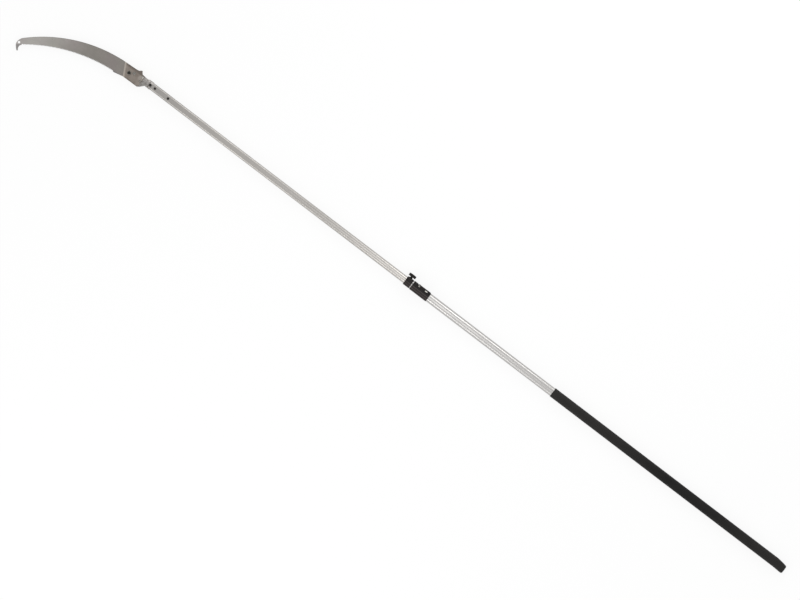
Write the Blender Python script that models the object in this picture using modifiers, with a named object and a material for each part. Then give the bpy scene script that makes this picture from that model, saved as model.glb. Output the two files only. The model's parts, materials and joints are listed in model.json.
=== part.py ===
"""Telescopic pole saw, lying flat on its side with its upper pole drawn right out.

Lengths are metres. The pole frame has its origin on the pole's axis at the butt: +X runs along
the pole to the blade, +Y points to the toothed side of the blade and +Z is up. The blade, like
the long side of the oval tubes, lies in the XY plane. The pole_axis empty sets this frame over
the floor, centred on the whole saw.
"""

import math
from collections import namedtuple

import bmesh
import bpy
from mathutils import Vector

# Clearances, and how finely round shapes are faceted
GAP = 0.0003
OVERSHOOT = 0.010
OVAL_SIDES = 36
ROUND_SIDES = 24
SMALL_SIDES = 16

# Whole saw
OVERALL_LENGTH = 3.693
KNOB_REACH = 0.0361
HOOK_REACH = 0.2118
FLOOR_DROP = 0.0198

# Handle pole: oval tube, rubber sleeve and butt cap
TUBE_START, TUBE_END = 0.046, 1.887
TUBE_WIDTH, TUBE_HEIGHT, TUBE_WALL = 0.0362, 0.0308, 0.0014
GRIP_END = 1.158
GRIP_WIDTH, GRIP_HEIGHT = 0.0400, 0.0348
PLUG_START, PLUG_END, PLUG_WALL = 0.020, 0.085, 0.0029

# Upper pole: slides in the handle pole
UPPER_START, UPPER_END = 1.590, 3.178
UPPER_WIDTH, UPPER_HEIGHT, UPPER_WALL = 0.0307, 0.0253, 0.0013
UPPER_TRAVEL = 1.170
LOCK_HOLE_COUNT = 4
TAIL_FLANGE, TAIL_SPIGOT, TAIL_VENT = 0.006, 0.022, 0.008
FRONT_BUSH_START, FRONT_BUSH_END = 1.836, 1.873

# Lever clamp
CLAMP_START, CLAMP_END = 1.7783, 1.860
CLAMP_SIZE, CLAMP_CORNER = 0.0396, 0.0050
POCKET_END = 1.842
POCKET_SIDE, POCKET_EDGE, POCKET_FLOOR = -0.0053, -0.0172, 0.0163
LEVER_PIVOT = (1.834, -0.0133)
LEVER_HUB_RADIUS = 0.0075
LEVER_TAIL, LEVER_TAIL_ROUND = 1.7798, 0.003
LEVER_BACK, LEVER_SKIRT, LEVER_SHEET = -0.0200, -0.0095, 0.0016
LEVER_WEB_INSIDE, LEVER_WEB_END = -0.0185, 1.829
LEVER_PIN_DIAMETER, LEVER_PIN_HEAD, LEVER_PIN_ROOT = 0.0050, 0.0084, 0.0129
CATCH_PLACE = (1.799, -0.0125)
CATCH_LENGTH, CATCH_WIDTH, CATCH_ROOT = 0.0116, 0.0046, 0.0140
CATCH_NOTCH_LENGTH, CATCH_NOTCH_DEPTH = 0.0150, 0.0059
SHOE_START, SHOE_END = 1.813, 1.830
SHOE_WIDTH, SHOE_BACK, SHOE_FRONT = 0.0104, -0.0182, -0.0138
CLAMP_SCREW_PLACES = {"rear": (1.800, 0.006), "front": (1.848, 0.006)}
CLAMP_SCREW_TOP, CLAMP_SCREW_LENGTH = 0.0194, 0.0040

# Lock collar and its spring pin
COLLAR_START, COLLAR_END = 1.8637, 1.8923
COLLAR_WIDTH, COLLAR_HEIGHT, COLLAR_CORNER = 0.0388, 0.0396, 0.0060
COLLAR_RIM, COLLAR_WAIST, COLLAR_LIP = 0.0042, 0.0380, 0.0050
COLLAR_SCREW_PLACE = (1.8786, -0.0089)
COLLAR_SCREW_TOP, COLLAR_SCREW_LENGTH = 0.0196, 0.0060
SCREW_BOSS, GLAND_BOSS = 0.0120, 0.0150
PIN_PLACE = 1.880
PIN_TIP, PIN_SHOULDER, PIN_STEM_END = 0.0157, 0.0210, 0.0329
PIN_DIAMETER, PIN_CHAMFER, STEM_DIAMETER = 0.0072, 0.0008, 0.0046
TAPPING_DIAMETER, TAPPING_DEPTH = 0.0030, 0.0050
GLAND_DIAMETER, GLAND_BORE = 0.0100, 0.0078
GLAND_INNER_END, GLAND_SEAT, GLAND_FLANGE_TOP, GLAND_TOP = 0.0164, 0.0199, 0.0215, 0.0302
GLAND_FLANGE, GLAND_CAP = 0.0136, 0.0012
SPRING_MEAN, SPRING_WIRE, SPRING_TURNS = 0.0062, 0.0008, 5
KNOB_DIAMETER, KNOB_UNDERSIDE, KNOB_LOBES, KNOB_LOBE_DEPTH = 0.0318, 0.0241, 12, 0.0008
KNOB_EDGE = 0.0014
KNOB_CAVITY, KNOB_CAVITY_TOP = 0.0112, 0.0332
KNOB_SCREW_TOP, KNOB_SCREW_LENGTH = KNOB_REACH - 0.0002, 0.0060

# Saw head: ferrule, cast core and holder plates
FERRULE_START, FERRULE_END, FERRULE_WALL = 3.160, 3.1815, 0.0012
GROOVE_START, GROOVE_END, GROOVE_DEPTH = 3.1698, 3.1750, 0.0008
CORE_START, CORE_MOUTH_END = 3.068, 3.184
NECK_END, NECK_THICKNESS = 3.203, 0.0100
NECK_EDGE, NECK_POCKET = 0.0010, 0.0016
TONGUE_START, TONGUE_END, TONGUE_THICKNESS = 3.198, 3.2145, 0.0062
PLATE_THICKNESS = 0.0025
JOGGLE_START, JOGGLE_END = 3.216, 3.224

# Saw blade
BLADE_THICKNESS = 0.0016
BLADE_TAIL = 3.2255
BACK_CENTRE, BACK_RADIUS = (3.2625, 0.5806), 0.5960
NOSE_START, NOSE_RADIUS = 3.682, 0.0371
TEETH_CENTRE, TEETH_RADIUS = (3.2614, 0.7137), 0.6723
TEETH_START, TEETH_STOP = 3.322, 3.668
TOOTH_PITCH, TOOTH_DEPTH, TOOTH_LEAN = 0.00545, 0.0040, 0.35
TIP_HOLE, TIP_HOLE_DIAMETER = (3.685, 0.1805), 0.0095

# Fasteners. A nut is given by its width across flats and its height
Screw = namedtuple("Screw", "head height shank")
Nut = namedtuple("Nut", "flats height")
Rivet = namedtuple("Rivet", "head height shank")
SOCKET_SHARE = 0.42
SEAT_CLEARANCE = 0.0008
CLAMP_SCREW = Screw(0.0064, 0.0023, 0.0030)
COLLAR_SCREW = Screw(0.0064, 0.0021, 0.0030)
KNOB_SCREW = Screw(0.0062, 0.0011, 0.0024)
TANG_BOLTS = {"front": Screw(0.0110, 0.0030, 0.0060), "rear": Screw(0.0100, 0.0030, 0.0060)}
TANG_BOLT_PLACES = {"front": (3.166, 0), "rear": (3.1434, 0)}
TANG_NUT = Nut(0.0100, 0.0040)
TANG_RIVET, TANG_RIVET_PLACE = Rivet(0.0105, 0.0015, 0.0048), (3.078, 0)
NECK_RIVET = Rivet(0.0090, 0.0014, 0.0050)
NECK_RIVET_PLACES = {"back": (3.209, -0.0055), "front": (3.209, 0.0125)}
BLADE_BOLT_DIAMETER, BLADE_BOLT_PLACE = 0.0080, (3.2637, 0.0124)
BLADE_BOLT_HEAD, BLADE_NUT = Nut(0.0130, 0.0053), Nut(0.0130, 0.0062)
WASHER_DIAMETER, WASHER_THICKNESS = 0.0160, 0.0015
BLADE_SCREW, BLADE_SCREW_PLACE = Screw(0.0118, 0.0030, 0.0060), (3.2455, 0.0021)
BLADE_SCREW_NUT = Nut(0.0100, 0.0048)
THREAD_OUT = 0.0012

for leftover in list(bpy.data.objects):
    bpy.data.objects.remove(leftover)


def new_collection(name):
    collection = bpy.data.collections.new(name)
    bpy.context.scene.collection.children.link(collection)
    return collection


PARTS = new_collection("pole_saw")
CUTTERS = new_collection("cutters")


def new_empty(name, location, parent=None):
    empty = bpy.data.objects.new(name, None)
    empty.empty_display_size = 0.03
    empty.location = location
    empty.parent = parent
    PARTS.objects.link(empty)
    return empty


POLE_AXIS = new_empty(
    "pole_axis", (-OVERALL_LENGTH / 2, (KNOB_REACH - HOOK_REACH) / 2, FLOOR_DROP)
)
TELESCOPE = new_empty("telescope_slide", (UPPER_START, 0, 0), POLE_AXIS)
LEVER_HINGE = new_empty("lever_hinge", (*LEVER_PIVOT, 0), POLE_AXIS)
SHOE_SLIDE = new_empty("shoe_slide", ((SHOE_START + SHOE_END) / 2, 0, 0), POLE_AXIS)
PIN_SLIDE = new_empty("pin_slide", (PIN_PLACE, 0, 0), POLE_AXIS)


def new_material(name, colour, metallic, roughness):
    material = bpy.data.materials.new(name)
    material.use_nodes = True
    shader = material.node_tree.nodes["Principled BSDF"]
    shader.inputs["Base Color"].default_value = (*colour, 1)
    shader.inputs["Metallic"].default_value = metallic
    shader.inputs["Roughness"].default_value = roughness
    return material


TUBE_ALUMINIUM = new_material("tube_aluminium", (0.68, 0.67, 0.65), 0.8, 0.35)
UPPER_ALUMINIUM = new_material("upper_aluminium", (0.50, 0.49, 0.48), 0.8, 0.40)
GRIP_RUBBER = new_material("grip_rubber", (0.020, 0.019, 0.018), 0.0, 0.85)
BLACK_NYLON = new_material("black_nylon", (0.018, 0.017, 0.017), 0.0, 0.50)
GREY_NYLON = new_material("grey_nylon", (0.30, 0.30, 0.29), 0.0, 0.50)
BLADE_STEEL = new_material("blade_steel", (0.33, 0.32, 0.30), 0.9, 0.35)
HOLDER_STEEL = new_material("holder_steel", (0.24, 0.22, 0.20), 0.8, 0.40)
CAST_ALUMINIUM = new_material("cast_aluminium", (0.52, 0.50, 0.49), 0.8, 0.45)
ZINC_STEEL = new_material("zinc_steel", (0.45, 0.44, 0.42), 0.9, 0.35)
BLACK_STEEL = new_material("black_steel", (0.045, 0.043, 0.040), 0.6, 0.45)


def finish(part, material, parent=POLE_AXIS, smooth=False):
    """Hang a piece, drawn in the pole frame, on its parent empty and give it its material."""
    part.parent = parent
    if parent is not POLE_AXIS:
        part.location = part.location - parent.location
    part.data.materials.clear()
    part.data.materials.append(material)
    if smooth:
        part.data.shade_smooth()
        part.data.set_sharp_from_angle(angle=math.radians(40))
    return part


def as_cutter(cutter):
    cutter.parent = POLE_AXIS
    cutter.hide_render = True
    cutter.display_type = "WIRE"
    PARTS.objects.unlink(cutter)
    CUTTERS.objects.link(cutter)
    return cutter


def combine(target, tool, operation):
    modifier = target.modifiers.new(tool.name, "BOOLEAN")
    modifier.operation = operation
    modifier.object = tool


def cut(target, *cutters):
    for cutter in cutters:
        combine(target, cutter, "DIFFERENCE")


def unite(target, *additions):
    for addition in additions:
        combine(target, addition, "UNION")


def bevel(part, width, segments=2, angle=40):
    modifier = part.modifiers.new("edges", "BEVEL")
    modifier.width = width
    modifier.segments = segments
    modifier.limit_method = "ANGLE"
    modifier.angle_limit = math.radians(angle)


def mesh_object(name, geometry):
    mesh = bpy.data.meshes.new(name)
    geometry.to_mesh(mesh)
    geometry.free()
    part = bpy.data.objects.new(name, mesh)
    PARTS.objects.link(part)
    return part


def slab(name, outlines, low, high):
    """A flat piece of the first outline, with the others as holes, between two heights."""
    curve = bpy.data.curves.new(name, "CURVE")
    curve.dimensions = "2D"
    curve.fill_mode = "BOTH"
    curve.extrude = (high - low) / 2
    for outline in outlines:
        spline = curve.splines.new("POLY")
        spline.points.add(len(outline) - 1)
        for point, (x, y) in zip(spline.points, outline):
            point.co = (x, y, 0, 1)
        spline.use_cyclic_u = True
    drawing = bpy.data.objects.new(name, curve)
    PARTS.objects.link(drawing)
    evaluated = drawing.evaluated_get(bpy.context.evaluated_depsgraph_get())
    geometry = bmesh.new()
    geometry.from_mesh(bpy.data.meshes.new_from_object(evaluated))
    bmesh.ops.remove_doubles(geometry, verts=geometry.verts, dist=0.000005)
    bmesh.ops.translate(geometry, verts=geometry.verts, vec=(0, 0, (low + high) / 2))
    bpy.data.objects.remove(drawing)
    return mesh_object(name, geometry)


def tube_piece(name, outlines, start, end):
    """A section of (y, z) outlines drawn out along the pole from start to end."""
    part = slab(name, outlines, start, end)
    part.rotation_euler = (math.pi / 2, 0, math.pi / 2)
    return part


def turned(name, profile, closed=False, sides=SMALL_SIDES):
    """Turn a profile of (radius, height) points, outer side downwards, about local Z."""
    geometry = bmesh.new()
    points = [geometry.verts.new((radius, 0, height)) for radius, height in profile]
    pairs = list(zip(points, points[1:]))
    if closed:
        pairs.append((points[-1], points[0]))
    for pair in pairs:
        geometry.edges.new(pair)
    part = mesh_object(name, geometry)
    screw = part.modifiers.new("turn", "SCREW")
    screw.steps = sides
    screw.render_steps = sides
    screw.use_merge_vertices = True
    screw.merge_threshold = 0.000005
    return part


def rod(name, diameter, low, high, sides=SMALL_SIDES):
    """A plain cylinder about local Z between two heights."""
    geometry = bmesh.new()
    bmesh.ops.create_cone(
        geometry,
        cap_ends=True,
        segments=sides,
        radius1=diameter / 2,
        radius2=diameter / 2,
        depth=high - low,
    )
    bmesh.ops.translate(geometry, verts=geometry.verts, vec=(0, 0, (low + high) / 2))
    return mesh_object(name, geometry)


def block(name, lows, highs):
    geometry = bmesh.new()
    bmesh.ops.create_cube(geometry, size=1)
    size = Vector(highs) - Vector(lows)
    bmesh.ops.scale(geometry, verts=geometry.verts, vec=size)
    bmesh.ops.translate(geometry, verts=geometry.verts, vec=(Vector(lows) + Vector(highs)) / 2)
    return mesh_object(name, geometry)


def on_face(place, far=False):
    """Rule that stands a piece drawn about local Z at (x, y), turned over on the far side."""

    def put(part):
        part.location = (*place, 0)
        part.rotation_euler = (math.pi if far else 0, 0, 0)
        return part

    return put


def on_edge(place):
    """Rule that stands a piece drawn about local Z on the knob side, pointing away from it."""

    def put(part):
        part.location = (place, 0, 0)
        part.rotation_euler = (math.pi / 2, 0, 0)
        return part

    return put


ON_PIN = on_edge(PIN_PLACE)


def drill(name, diameter, low, high, put):
    return as_cutter(put(rod(name, diameter, low, high)))


def arc(centre, radius, start, end, count):
    """Points of an arc, with angles in degrees from +X towards +Y."""
    points = []
    for step in range(count + 1):
        angle = math.radians(start + (end - start) * step / count)
        points.append((centre[0] + radius * math.cos(angle), centre[1] + radius * math.sin(angle)))
    return points


def circle(centre, diameter, count=SMALL_SIDES):
    return arc(centre, diameter / 2, 0, 360, count)[:-1]


def oval(width, height, shift=0.0):
    points = []
    for step in range(OVAL_SIDES):
        angle = 2 * math.pi * step / OVAL_SIDES
        points.append((shift + width / 2 * math.cos(angle), height / 2 * math.sin(angle)))
    return points


def rounded_box(width, height, radius):
    points = []
    for start, side, top in ((0, 1, 1), (90, -1, 1), (180, -1, -1), (270, 1, -1)):
        centre = (side * (width / 2 - radius), top * (height / 2 - radius))
        points += arc(centre, radius, start, start + 90, 4)
    return points


def hexagon(flats):
    return arc((0, 0), flats / math.sqrt(3), 0, 360, 6)[:-1]


def grown(size, margin):
    """A (width, height) pair made larger by a margin on every side."""
    return (size[0] + 2 * margin, size[1] + 2 * margin)


# Sections that several pieces share
TUBE = (TUBE_WIDTH, TUBE_HEIGHT)
UPPER = (UPPER_WIDTH, UPPER_HEIGHT)
OVER_TUBE = grown(TUBE, GAP)
OVER_UPPER = grown(UPPER, GAP)
IN_TUBE = grown(TUBE, -TUBE_WALL - GAP)
IN_UPPER = grown(UPPER, -UPPER_WALL - GAP)


def socket_screw(name, size, top, length, put):
    """Low round-headed screw with a hexagon socket, its shank running down from its head."""
    head, height, shank = size
    seat = top - height
    screw = turned(
        name,
        [
            (0, top),
            (head * 0.30, top),
            (head * 0.43, top - height * 0.25),
            (head * 0.50, top - height * 0.65),
            (head * 0.50, seat),
            (shank / 2, seat),
            (shank / 2, seat - length),
            (0, seat - length),
        ],
    )
    socket = slab(f"{name}_socket", [hexagon(head * SOCKET_SHARE)], top - height / 2, top + height)
    cut(put(screw), as_cutter(put(socket)))
    return screw


def screw_seat(name, size, top, put):
    """Counterbore in which a screw's head sits below the surface."""
    floor = top - size.height - GAP
    return drill(name, size.head + SEAT_CLEARANCE, floor, floor + OVERSHOOT, put)


def hex_nut(name, size, shank, low, put):
    rings = [hexagon(size.flats), circle((0, 0), shank + 2 * GAP)]
    return put(slab(name, rings, low, low + size.height))


def through_rivet(name, size, place, grip, material):
    """Rivet with a low dome on each side; grip is the stack's half thickness."""
    head, height, shank = size
    seat = grip + GAP
    half = [
        (0, seat + height),
        (head * 0.25, seat + height * 0.90),
        (head * 0.42, seat + height * 0.55),
        (head * 0.50, seat),
        (shank / 2, seat),
    ]
    profile = half + [(radius, -level) for radius, level in reversed(half)]
    rivet = on_face(place)(turned(name, profile))
    return finish(rivet, material, TELESCOPE, smooth=True)


def gland_hole():
    return drill("gland_hole", GLAND_DIAMETER + 2 * GAP, UPPER_WIDTH / 4, KNOB_REACH, ON_PIN)


def clamp_screw_holes():
    holes = []
    for end, place in CLAMP_SCREW_PLACES.items():
        name = f"clamp_screw_hole_{end}"
        put = on_face(place, far=True)
        holes.append(
            drill(name, CLAMP_SCREW.shank + 2 * GAP, TUBE_HEIGHT / 4, 2 * FLOOR_DROP, put)
        )
    return holes


def collar_screw_hole():
    put = on_face(COLLAR_SCREW_PLACE)
    width = COLLAR_SCREW.shank + 2 * GAP
    return drill("collar_screw_hole", width, -2 * FLOOR_DROP, 2 * FLOOR_DROP, put)


def tang_holes():
    """Cross holes of the upper tube, the ferrule and the core, the front bolt's hole first."""
    holes = []
    for end, place in TANG_BOLT_PLACES.items():
        width = TANG_BOLTS[end].shank + 2 * GAP
        put = on_face(place)
        holes.append(drill(f"tang_bolt_hole_{end}", width, -UPPER_WIDTH, UPPER_WIDTH, put))
    width = TANG_RIVET.shank + 2 * GAP
    put = on_face(TANG_RIVET_PLACE)
    holes.append(drill("tang_rivet_hole", width, -UPPER_WIDTH, UPPER_WIDTH, put))
    return holes


def neck_rivet_holes():
    holes = []
    for side, place in NECK_RIVET_PLACES.items():
        width = NECK_RIVET.shank + 2 * GAP
        put = on_face(place)
        holes.append(drill(f"neck_rivet_hole_{side}", width, -UPPER_WIDTH, UPPER_WIDTH, put))
    return holes


def outer_tube():
    section = [oval(*TUBE), oval(*grown(TUBE, -TUBE_WALL))]
    tube = tube_piece("outer_tube", section, TUBE_START, TUBE_END)
    window = block(
        "shoe_window",
        (SHOE_START - 2 * GAP, -TUBE_WIDTH, -SHOE_WIDTH / 2 - GAP),
        (SHOE_END + 2 * GAP, -UPPER_WIDTH / 4, SHOE_WIDTH / 2 + GAP),
    )
    cut(tube, as_cutter(window), GLAND_HOLE, *CLAMP_SCREW_HOLES, COLLAR_SCREW_HOLE)
    return finish(tube, TUBE_ALUMINIUM, smooth=True)


def grip_sleeve():
    section = [oval(GRIP_WIDTH, GRIP_HEIGHT), oval(*OVER_TUBE)]
    sleeve = tube_piece("grip_sleeve", section, TUBE_START, GRIP_END)
    return finish(sleeve, GRIP_RUBBER, smooth=True)


def butt_cap():
    """Solid rubber end, turned down to the toothed side, on a hollow plug in the tube."""
    geometry = bmesh.new()
    # Each section gives its place along the pole, its edges on the two sides and its height
    sections = (
        (0.0000, -0.0105, 0.0182, 0.0250),
        (0.0015, -0.0128, 0.0203, 0.0292),
        (0.0050, -0.0143, 0.0214, 0.0318),
        (0.0160, -0.0163, 0.0213, 0.0330),
        (0.0300, -0.0182, 0.0206, 0.0340),
        (TUBE_START - GAP, -0.0198, 0.0199, 0.0345),
    )
    rings = []
    for place, knob_side, tooth_side, height in sections:
        outline = oval(tooth_side - knob_side, height, (tooth_side + knob_side) / 2)
        rings.append([geometry.verts.new((place, y, z)) for y, z in outline])
    for near, far in zip(rings, rings[1:]):
        for index in range(OVAL_SIDES):
            following = (index + 1) % OVAL_SIDES
            geometry.faces.new((near[index], near[following], far[following], far[index]))
    geometry.faces.new(rings[0])
    geometry.faces.new(rings[-1])
    bmesh.ops.recalc_face_normals(geometry, faces=geometry.faces)
    cap = mesh_object("butt_cap", geometry)
    plug = tube_piece("butt_plug", [oval(*IN_TUBE)], TUBE_START / 2, PLUG_END)
    hollow_section = [oval(*grown(IN_TUBE, -PLUG_WALL))]
    hollow = tube_piece("butt_hollow", hollow_section, PLUG_START, PLUG_END + OVERSHOOT)
    unite(cap, as_cutter(plug))
    cut(cap, as_cutter(hollow))
    return finish(cap, GRIP_RUBBER, smooth=True)


def front_bush():
    section = [oval(*IN_TUBE), oval(*OVER_UPPER)]
    bush = tube_piece("front_bush", section, FRONT_BUSH_START, FRONT_BUSH_END)
    return finish(bush, GREY_NYLON, smooth=True)


def clamp_body():
    section = [rounded_box(CLAMP_SIZE, CLAMP_SIZE, CLAMP_CORNER), oval(*OVER_TUBE)]
    body = tube_piece("clamp_body", section, CLAMP_START, CLAMP_END)
    # The pocket straddles the knob side, so that the lever folds flush round the tube
    out = CLAMP_SIZE
    straddle = [
        (-out, -out),
        (POCKET_SIDE, -out),
        (POCKET_SIDE, -POCKET_FLOOR),
        (POCKET_EDGE, -POCKET_FLOOR),
        (POCKET_EDGE, POCKET_FLOOR),
        (POCKET_SIDE, POCKET_FLOOR),
        (POCKET_SIDE, out),
        (-out, out),
    ]
    pocket = tube_piece("lever_pocket", [straddle], CLAMP_START - OVERSHOOT, POCKET_END)
    pivot_width = LEVER_PIN_DIAMETER + 2 * GAP
    pivot = drill("lever_pin_hole", pivot_width, -FLOOR_DROP, FLOOR_DROP, on_face(LEVER_PIVOT))
    catch_hole = block(
        "catch_hole",
        (-CATCH_LENGTH / 2 - GAP, -CATCH_WIDTH / 2 - GAP, -FLOOR_DROP),
        (CATCH_LENGTH / 2 + GAP, CATCH_WIDTH / 2 + GAP, FLOOR_DROP),
    )
    cut(body, as_cutter(pocket), pivot, as_cutter(on_face(CATCH_PLACE)(catch_hole)))
    cut(body, *CLAMP_SCREW_HOLES)
    for end, place in CLAMP_SCREW_PLACES.items():
        put = on_face(place, far=True)
        cut(body, screw_seat(f"clamp_screw_seat_{end}", CLAMP_SCREW, CLAMP_SCREW_TOP, put))
    return finish(body, BLACK_NYLON)


def clamp_screw(end):
    put = on_face(CLAMP_SCREW_PLACES[end], far=True)
    name = f"clamp_screw_{end}"
    screw = socket_screw(name, CLAMP_SCREW, CLAMP_SCREW_TOP, CLAMP_SCREW_LENGTH, put)
    return finish(screw, BLACK_STEEL, smooth=True)


def clamp_lever():
    """U-shaped lever: a web over the pole's knob side and a skirt down each flat side."""
    pivot_y = LEVER_PIVOT[1]
    skirt_angle = math.degrees(math.asin((LEVER_SKIRT - pivot_y) / LEVER_HUB_RADIUS))
    back_angle = math.degrees(math.asin((LEVER_BACK - pivot_y) / LEVER_HUB_RADIUS))
    notch_start = CATCH_PLACE[0] - CATCH_NOTCH_LENGTH / 2
    notch_end = CATCH_PLACE[0] + CATCH_NOTCH_LENGTH / 2
    notch_top = LEVER_SKIRT - CATCH_NOTCH_DEPTH
    outline = [
        (LEVER_TAIL, LEVER_SKIRT),
        (notch_start, LEVER_SKIRT),
        (notch_start, notch_top),
        (notch_end, notch_top),
        (notch_end, LEVER_SKIRT),
    ]
    outline += arc(LEVER_PIVOT, LEVER_HUB_RADIUS, 180 - skirt_angle, -180 - back_angle, 16)
    tail_centre = (LEVER_TAIL + LEVER_TAIL_ROUND, LEVER_BACK + LEVER_TAIL_ROUND)
    outline += arc(tail_centre, LEVER_TAIL_ROUND, 270, 180, 3)
    half_inside = POCKET_FLOOR + GAP
    half_width = half_inside + LEVER_SHEET
    lever = slab("clamp_lever", [outline], -half_width, half_width)
    # The space between the skirts, which is open in front of the web as well as below it
    ahead = LEVER_PIVOT[0] + 2 * OVERSHOOT
    channel = [
        (LEVER_TAIL - OVERSHOOT, LEVER_WEB_INSIDE),
        (LEVER_WEB_END, LEVER_WEB_INSIDE),
        (LEVER_WEB_END, LEVER_BACK - OVERSHOOT),
        (ahead, LEVER_BACK - OVERSHOOT),
        (ahead, 0),
        (LEVER_TAIL - OVERSHOOT, 0),
    ]
    inside = slab("lever_inside", [channel], -half_inside, half_inside)
    bore_width = LEVER_PIN_DIAMETER + 2 * GAP
    bore = drill("lever_bore", bore_width, -FLOOR_DROP, FLOOR_DROP, on_face(LEVER_PIVOT))
    cut(lever, as_cutter(inside), bore)
    return finish(lever, BLACK_NYLON, LEVER_HINGE)


def lever_pin(name, far):
    """Stub on which one side of the lever turns, pressed into the clamp body's corner."""
    neck, crown = POCKET_FLOOR + LEVER_SHEET + 2 * GAP, FLOOR_DROP - GAP
    profile = [
        (0, crown),
        (LEVER_PIN_HEAD / 2 - 0.0006, crown),
        (LEVER_PIN_HEAD / 2, crown - 0.0004),
        (LEVER_PIN_HEAD / 2, neck),
        (LEVER_PIN_DIAMETER / 2, neck),
        (LEVER_PIN_DIAMETER / 2, LEVER_PIN_ROOT),
        (0, LEVER_PIN_ROOT),
    ]
    pin = on_face(LEVER_PIVOT, far)(turned(name, profile))
    return finish(pin, ZINC_STEEL, smooth=True)


def catch_stud(name, far):
    """Bright nib that snaps into the lever skirt's notch and holds the lever shut."""
    stud = block(
        name,
        (-CATCH_LENGTH / 2, -CATCH_WIDTH / 2, CATCH_ROOT),
        (CATCH_LENGTH / 2, CATCH_WIDTH / 2, POCKET_FLOOR + LEVER_SHEET),
    )
    bevel(stud, 0.0004)
    return finish(on_face(CATCH_PLACE, far)(stud), ZINC_STEEL)


def brake_shoe():
    """Nylon block in the tube's window, hollowed to the upper tube that it presses on."""
    shoe = block(
        "brake_shoe",
        (SHOE_START, SHOE_BACK, -SHOE_WIDTH / 2),
        (SHOE_END, SHOE_FRONT, SHOE_WIDTH / 2),
    )
    hollow_section = [oval(*OVER_UPPER)]
    hollow = tube_piece(
        "shoe_hollow", hollow_section, SHOE_START - OVERSHOOT, SHOE_END + OVERSHOOT
    )
    cut(shoe, as_cutter(hollow))
    return finish(shoe, GREY_NYLON, SHOE_SLIDE)


def lock_collar():
    section = [rounded_box(COLLAR_WIDTH, COLLAR_HEIGHT, COLLAR_CORNER)]
    collar = tube_piece("lock_collar", section, COLLAR_START, COLLAR_END)
    around_waist = [
        rounded_box(2 * COLLAR_WIDTH, 2 * COLLAR_HEIGHT, COLLAR_CORNER),
        rounded_box(COLLAR_WAIST, COLLAR_WAIST, COLLAR_CORNER),
    ]
    waist_start, waist_end = COLLAR_START + COLLAR_RIM, COLLAR_END - COLLAR_RIM
    cut(collar, as_cutter(tube_piece("collar_waist", around_waist, waist_start, waist_end)))
    screw_boss = rod("collar_screw_boss", SCREW_BOSS, -COLLAR_HEIGHT / 2, COLLAR_HEIGHT / 2)
    gland_boss = rod("collar_gland_boss", GLAND_BOSS, TUBE_WIDTH / 2, GLAND_SEAT - GAP)
    unite(collar, as_cutter(on_face(COLLAR_SCREW_PLACE)(screw_boss)))
    unite(collar, as_cutter(ON_PIN(gland_boss)))
    start, end = COLLAR_START - OVERSHOOT, COLLAR_END + OVERSHOOT
    tube_seat = tube_piece("collar_tube_seat", [oval(*OVER_TUBE)], start, COLLAR_END - COLLAR_LIP)
    lip_bore = tube_piece("collar_lip_bore", [oval(*grown(OVER_UPPER, GAP / 2))], start, end)
    cut(collar, as_cutter(tube_seat), as_cutter(lip_bore), GLAND_HOLE, COLLAR_SCREW_HOLE)
    for side, far in (("near", False), ("far", True)):
        put = on_face(COLLAR_SCREW_PLACE, far)
        cut(collar, screw_seat(f"collar_screw_seat_{side}", COLLAR_SCREW, COLLAR_SCREW_TOP, put))
    return finish(collar, BLACK_NYLON)


def collar_screw(name, far):
    put = on_face(COLLAR_SCREW_PLACE, far)
    screw = socket_screw(name, COLLAR_SCREW, COLLAR_SCREW_TOP, COLLAR_SCREW_LENGTH, put)
    return finish(screw, BLACK_STEEL, smooth=True)


def pin_gland():
    """Flanged bush through collar and tube, with the pin's spring chamber in its chimney."""
    outer, bore, flange = GLAND_DIAMETER / 2, GLAND_BORE / 2, GLAND_FLANGE / 2
    stem_hole = STEM_DIAMETER / 2 + GAP
    profile = [
        (outer, GLAND_TOP),
        (outer, GLAND_FLANGE_TOP),
        (flange, GLAND_FLANGE_TOP),
        (flange, GLAND_SEAT),
        (outer, GLAND_SEAT),
        (outer, GLAND_INNER_END),
        (bore, GLAND_INNER_END),
        (bore, GLAND_TOP - GLAND_CAP),
        (stem_hole, GLAND_TOP - GLAND_CAP),
        (stem_hole, GLAND_TOP),
    ]
    gland = ON_PIN(turned("pin_gland", profile, closed=True, sides=ROUND_SIDES))
    return finish(gland, BLACK_STEEL, smooth=True)


def lock_pin():
    """Piston and stem, tapped at its outer end for the knob's screw."""
    radius, stem = PIN_DIAMETER / 2, STEM_DIAMETER / 2
    profile = [
        (0, PIN_STEM_END),
        (stem, PIN_STEM_END),
        (stem, PIN_SHOULDER),
        (radius, PIN_SHOULDER),
        (radius, PIN_TIP + PIN_CHAMFER),
        (radius - PIN_CHAMFER, PIN_TIP),
        (0, PIN_TIP),
    ]
    pin = ON_PIN(turned("lock_pin", profile, sides=ROUND_SIDES))
    tapping_floor = PIN_STEM_END - TAPPING_DEPTH
    cut(pin, drill("pin_tapping", TAPPING_DIAMETER, tapping_floor, KNOB_REACH, ON_PIN))
    return finish(pin, ZINC_STEEL, PIN_SLIDE, smooth=True)


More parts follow.
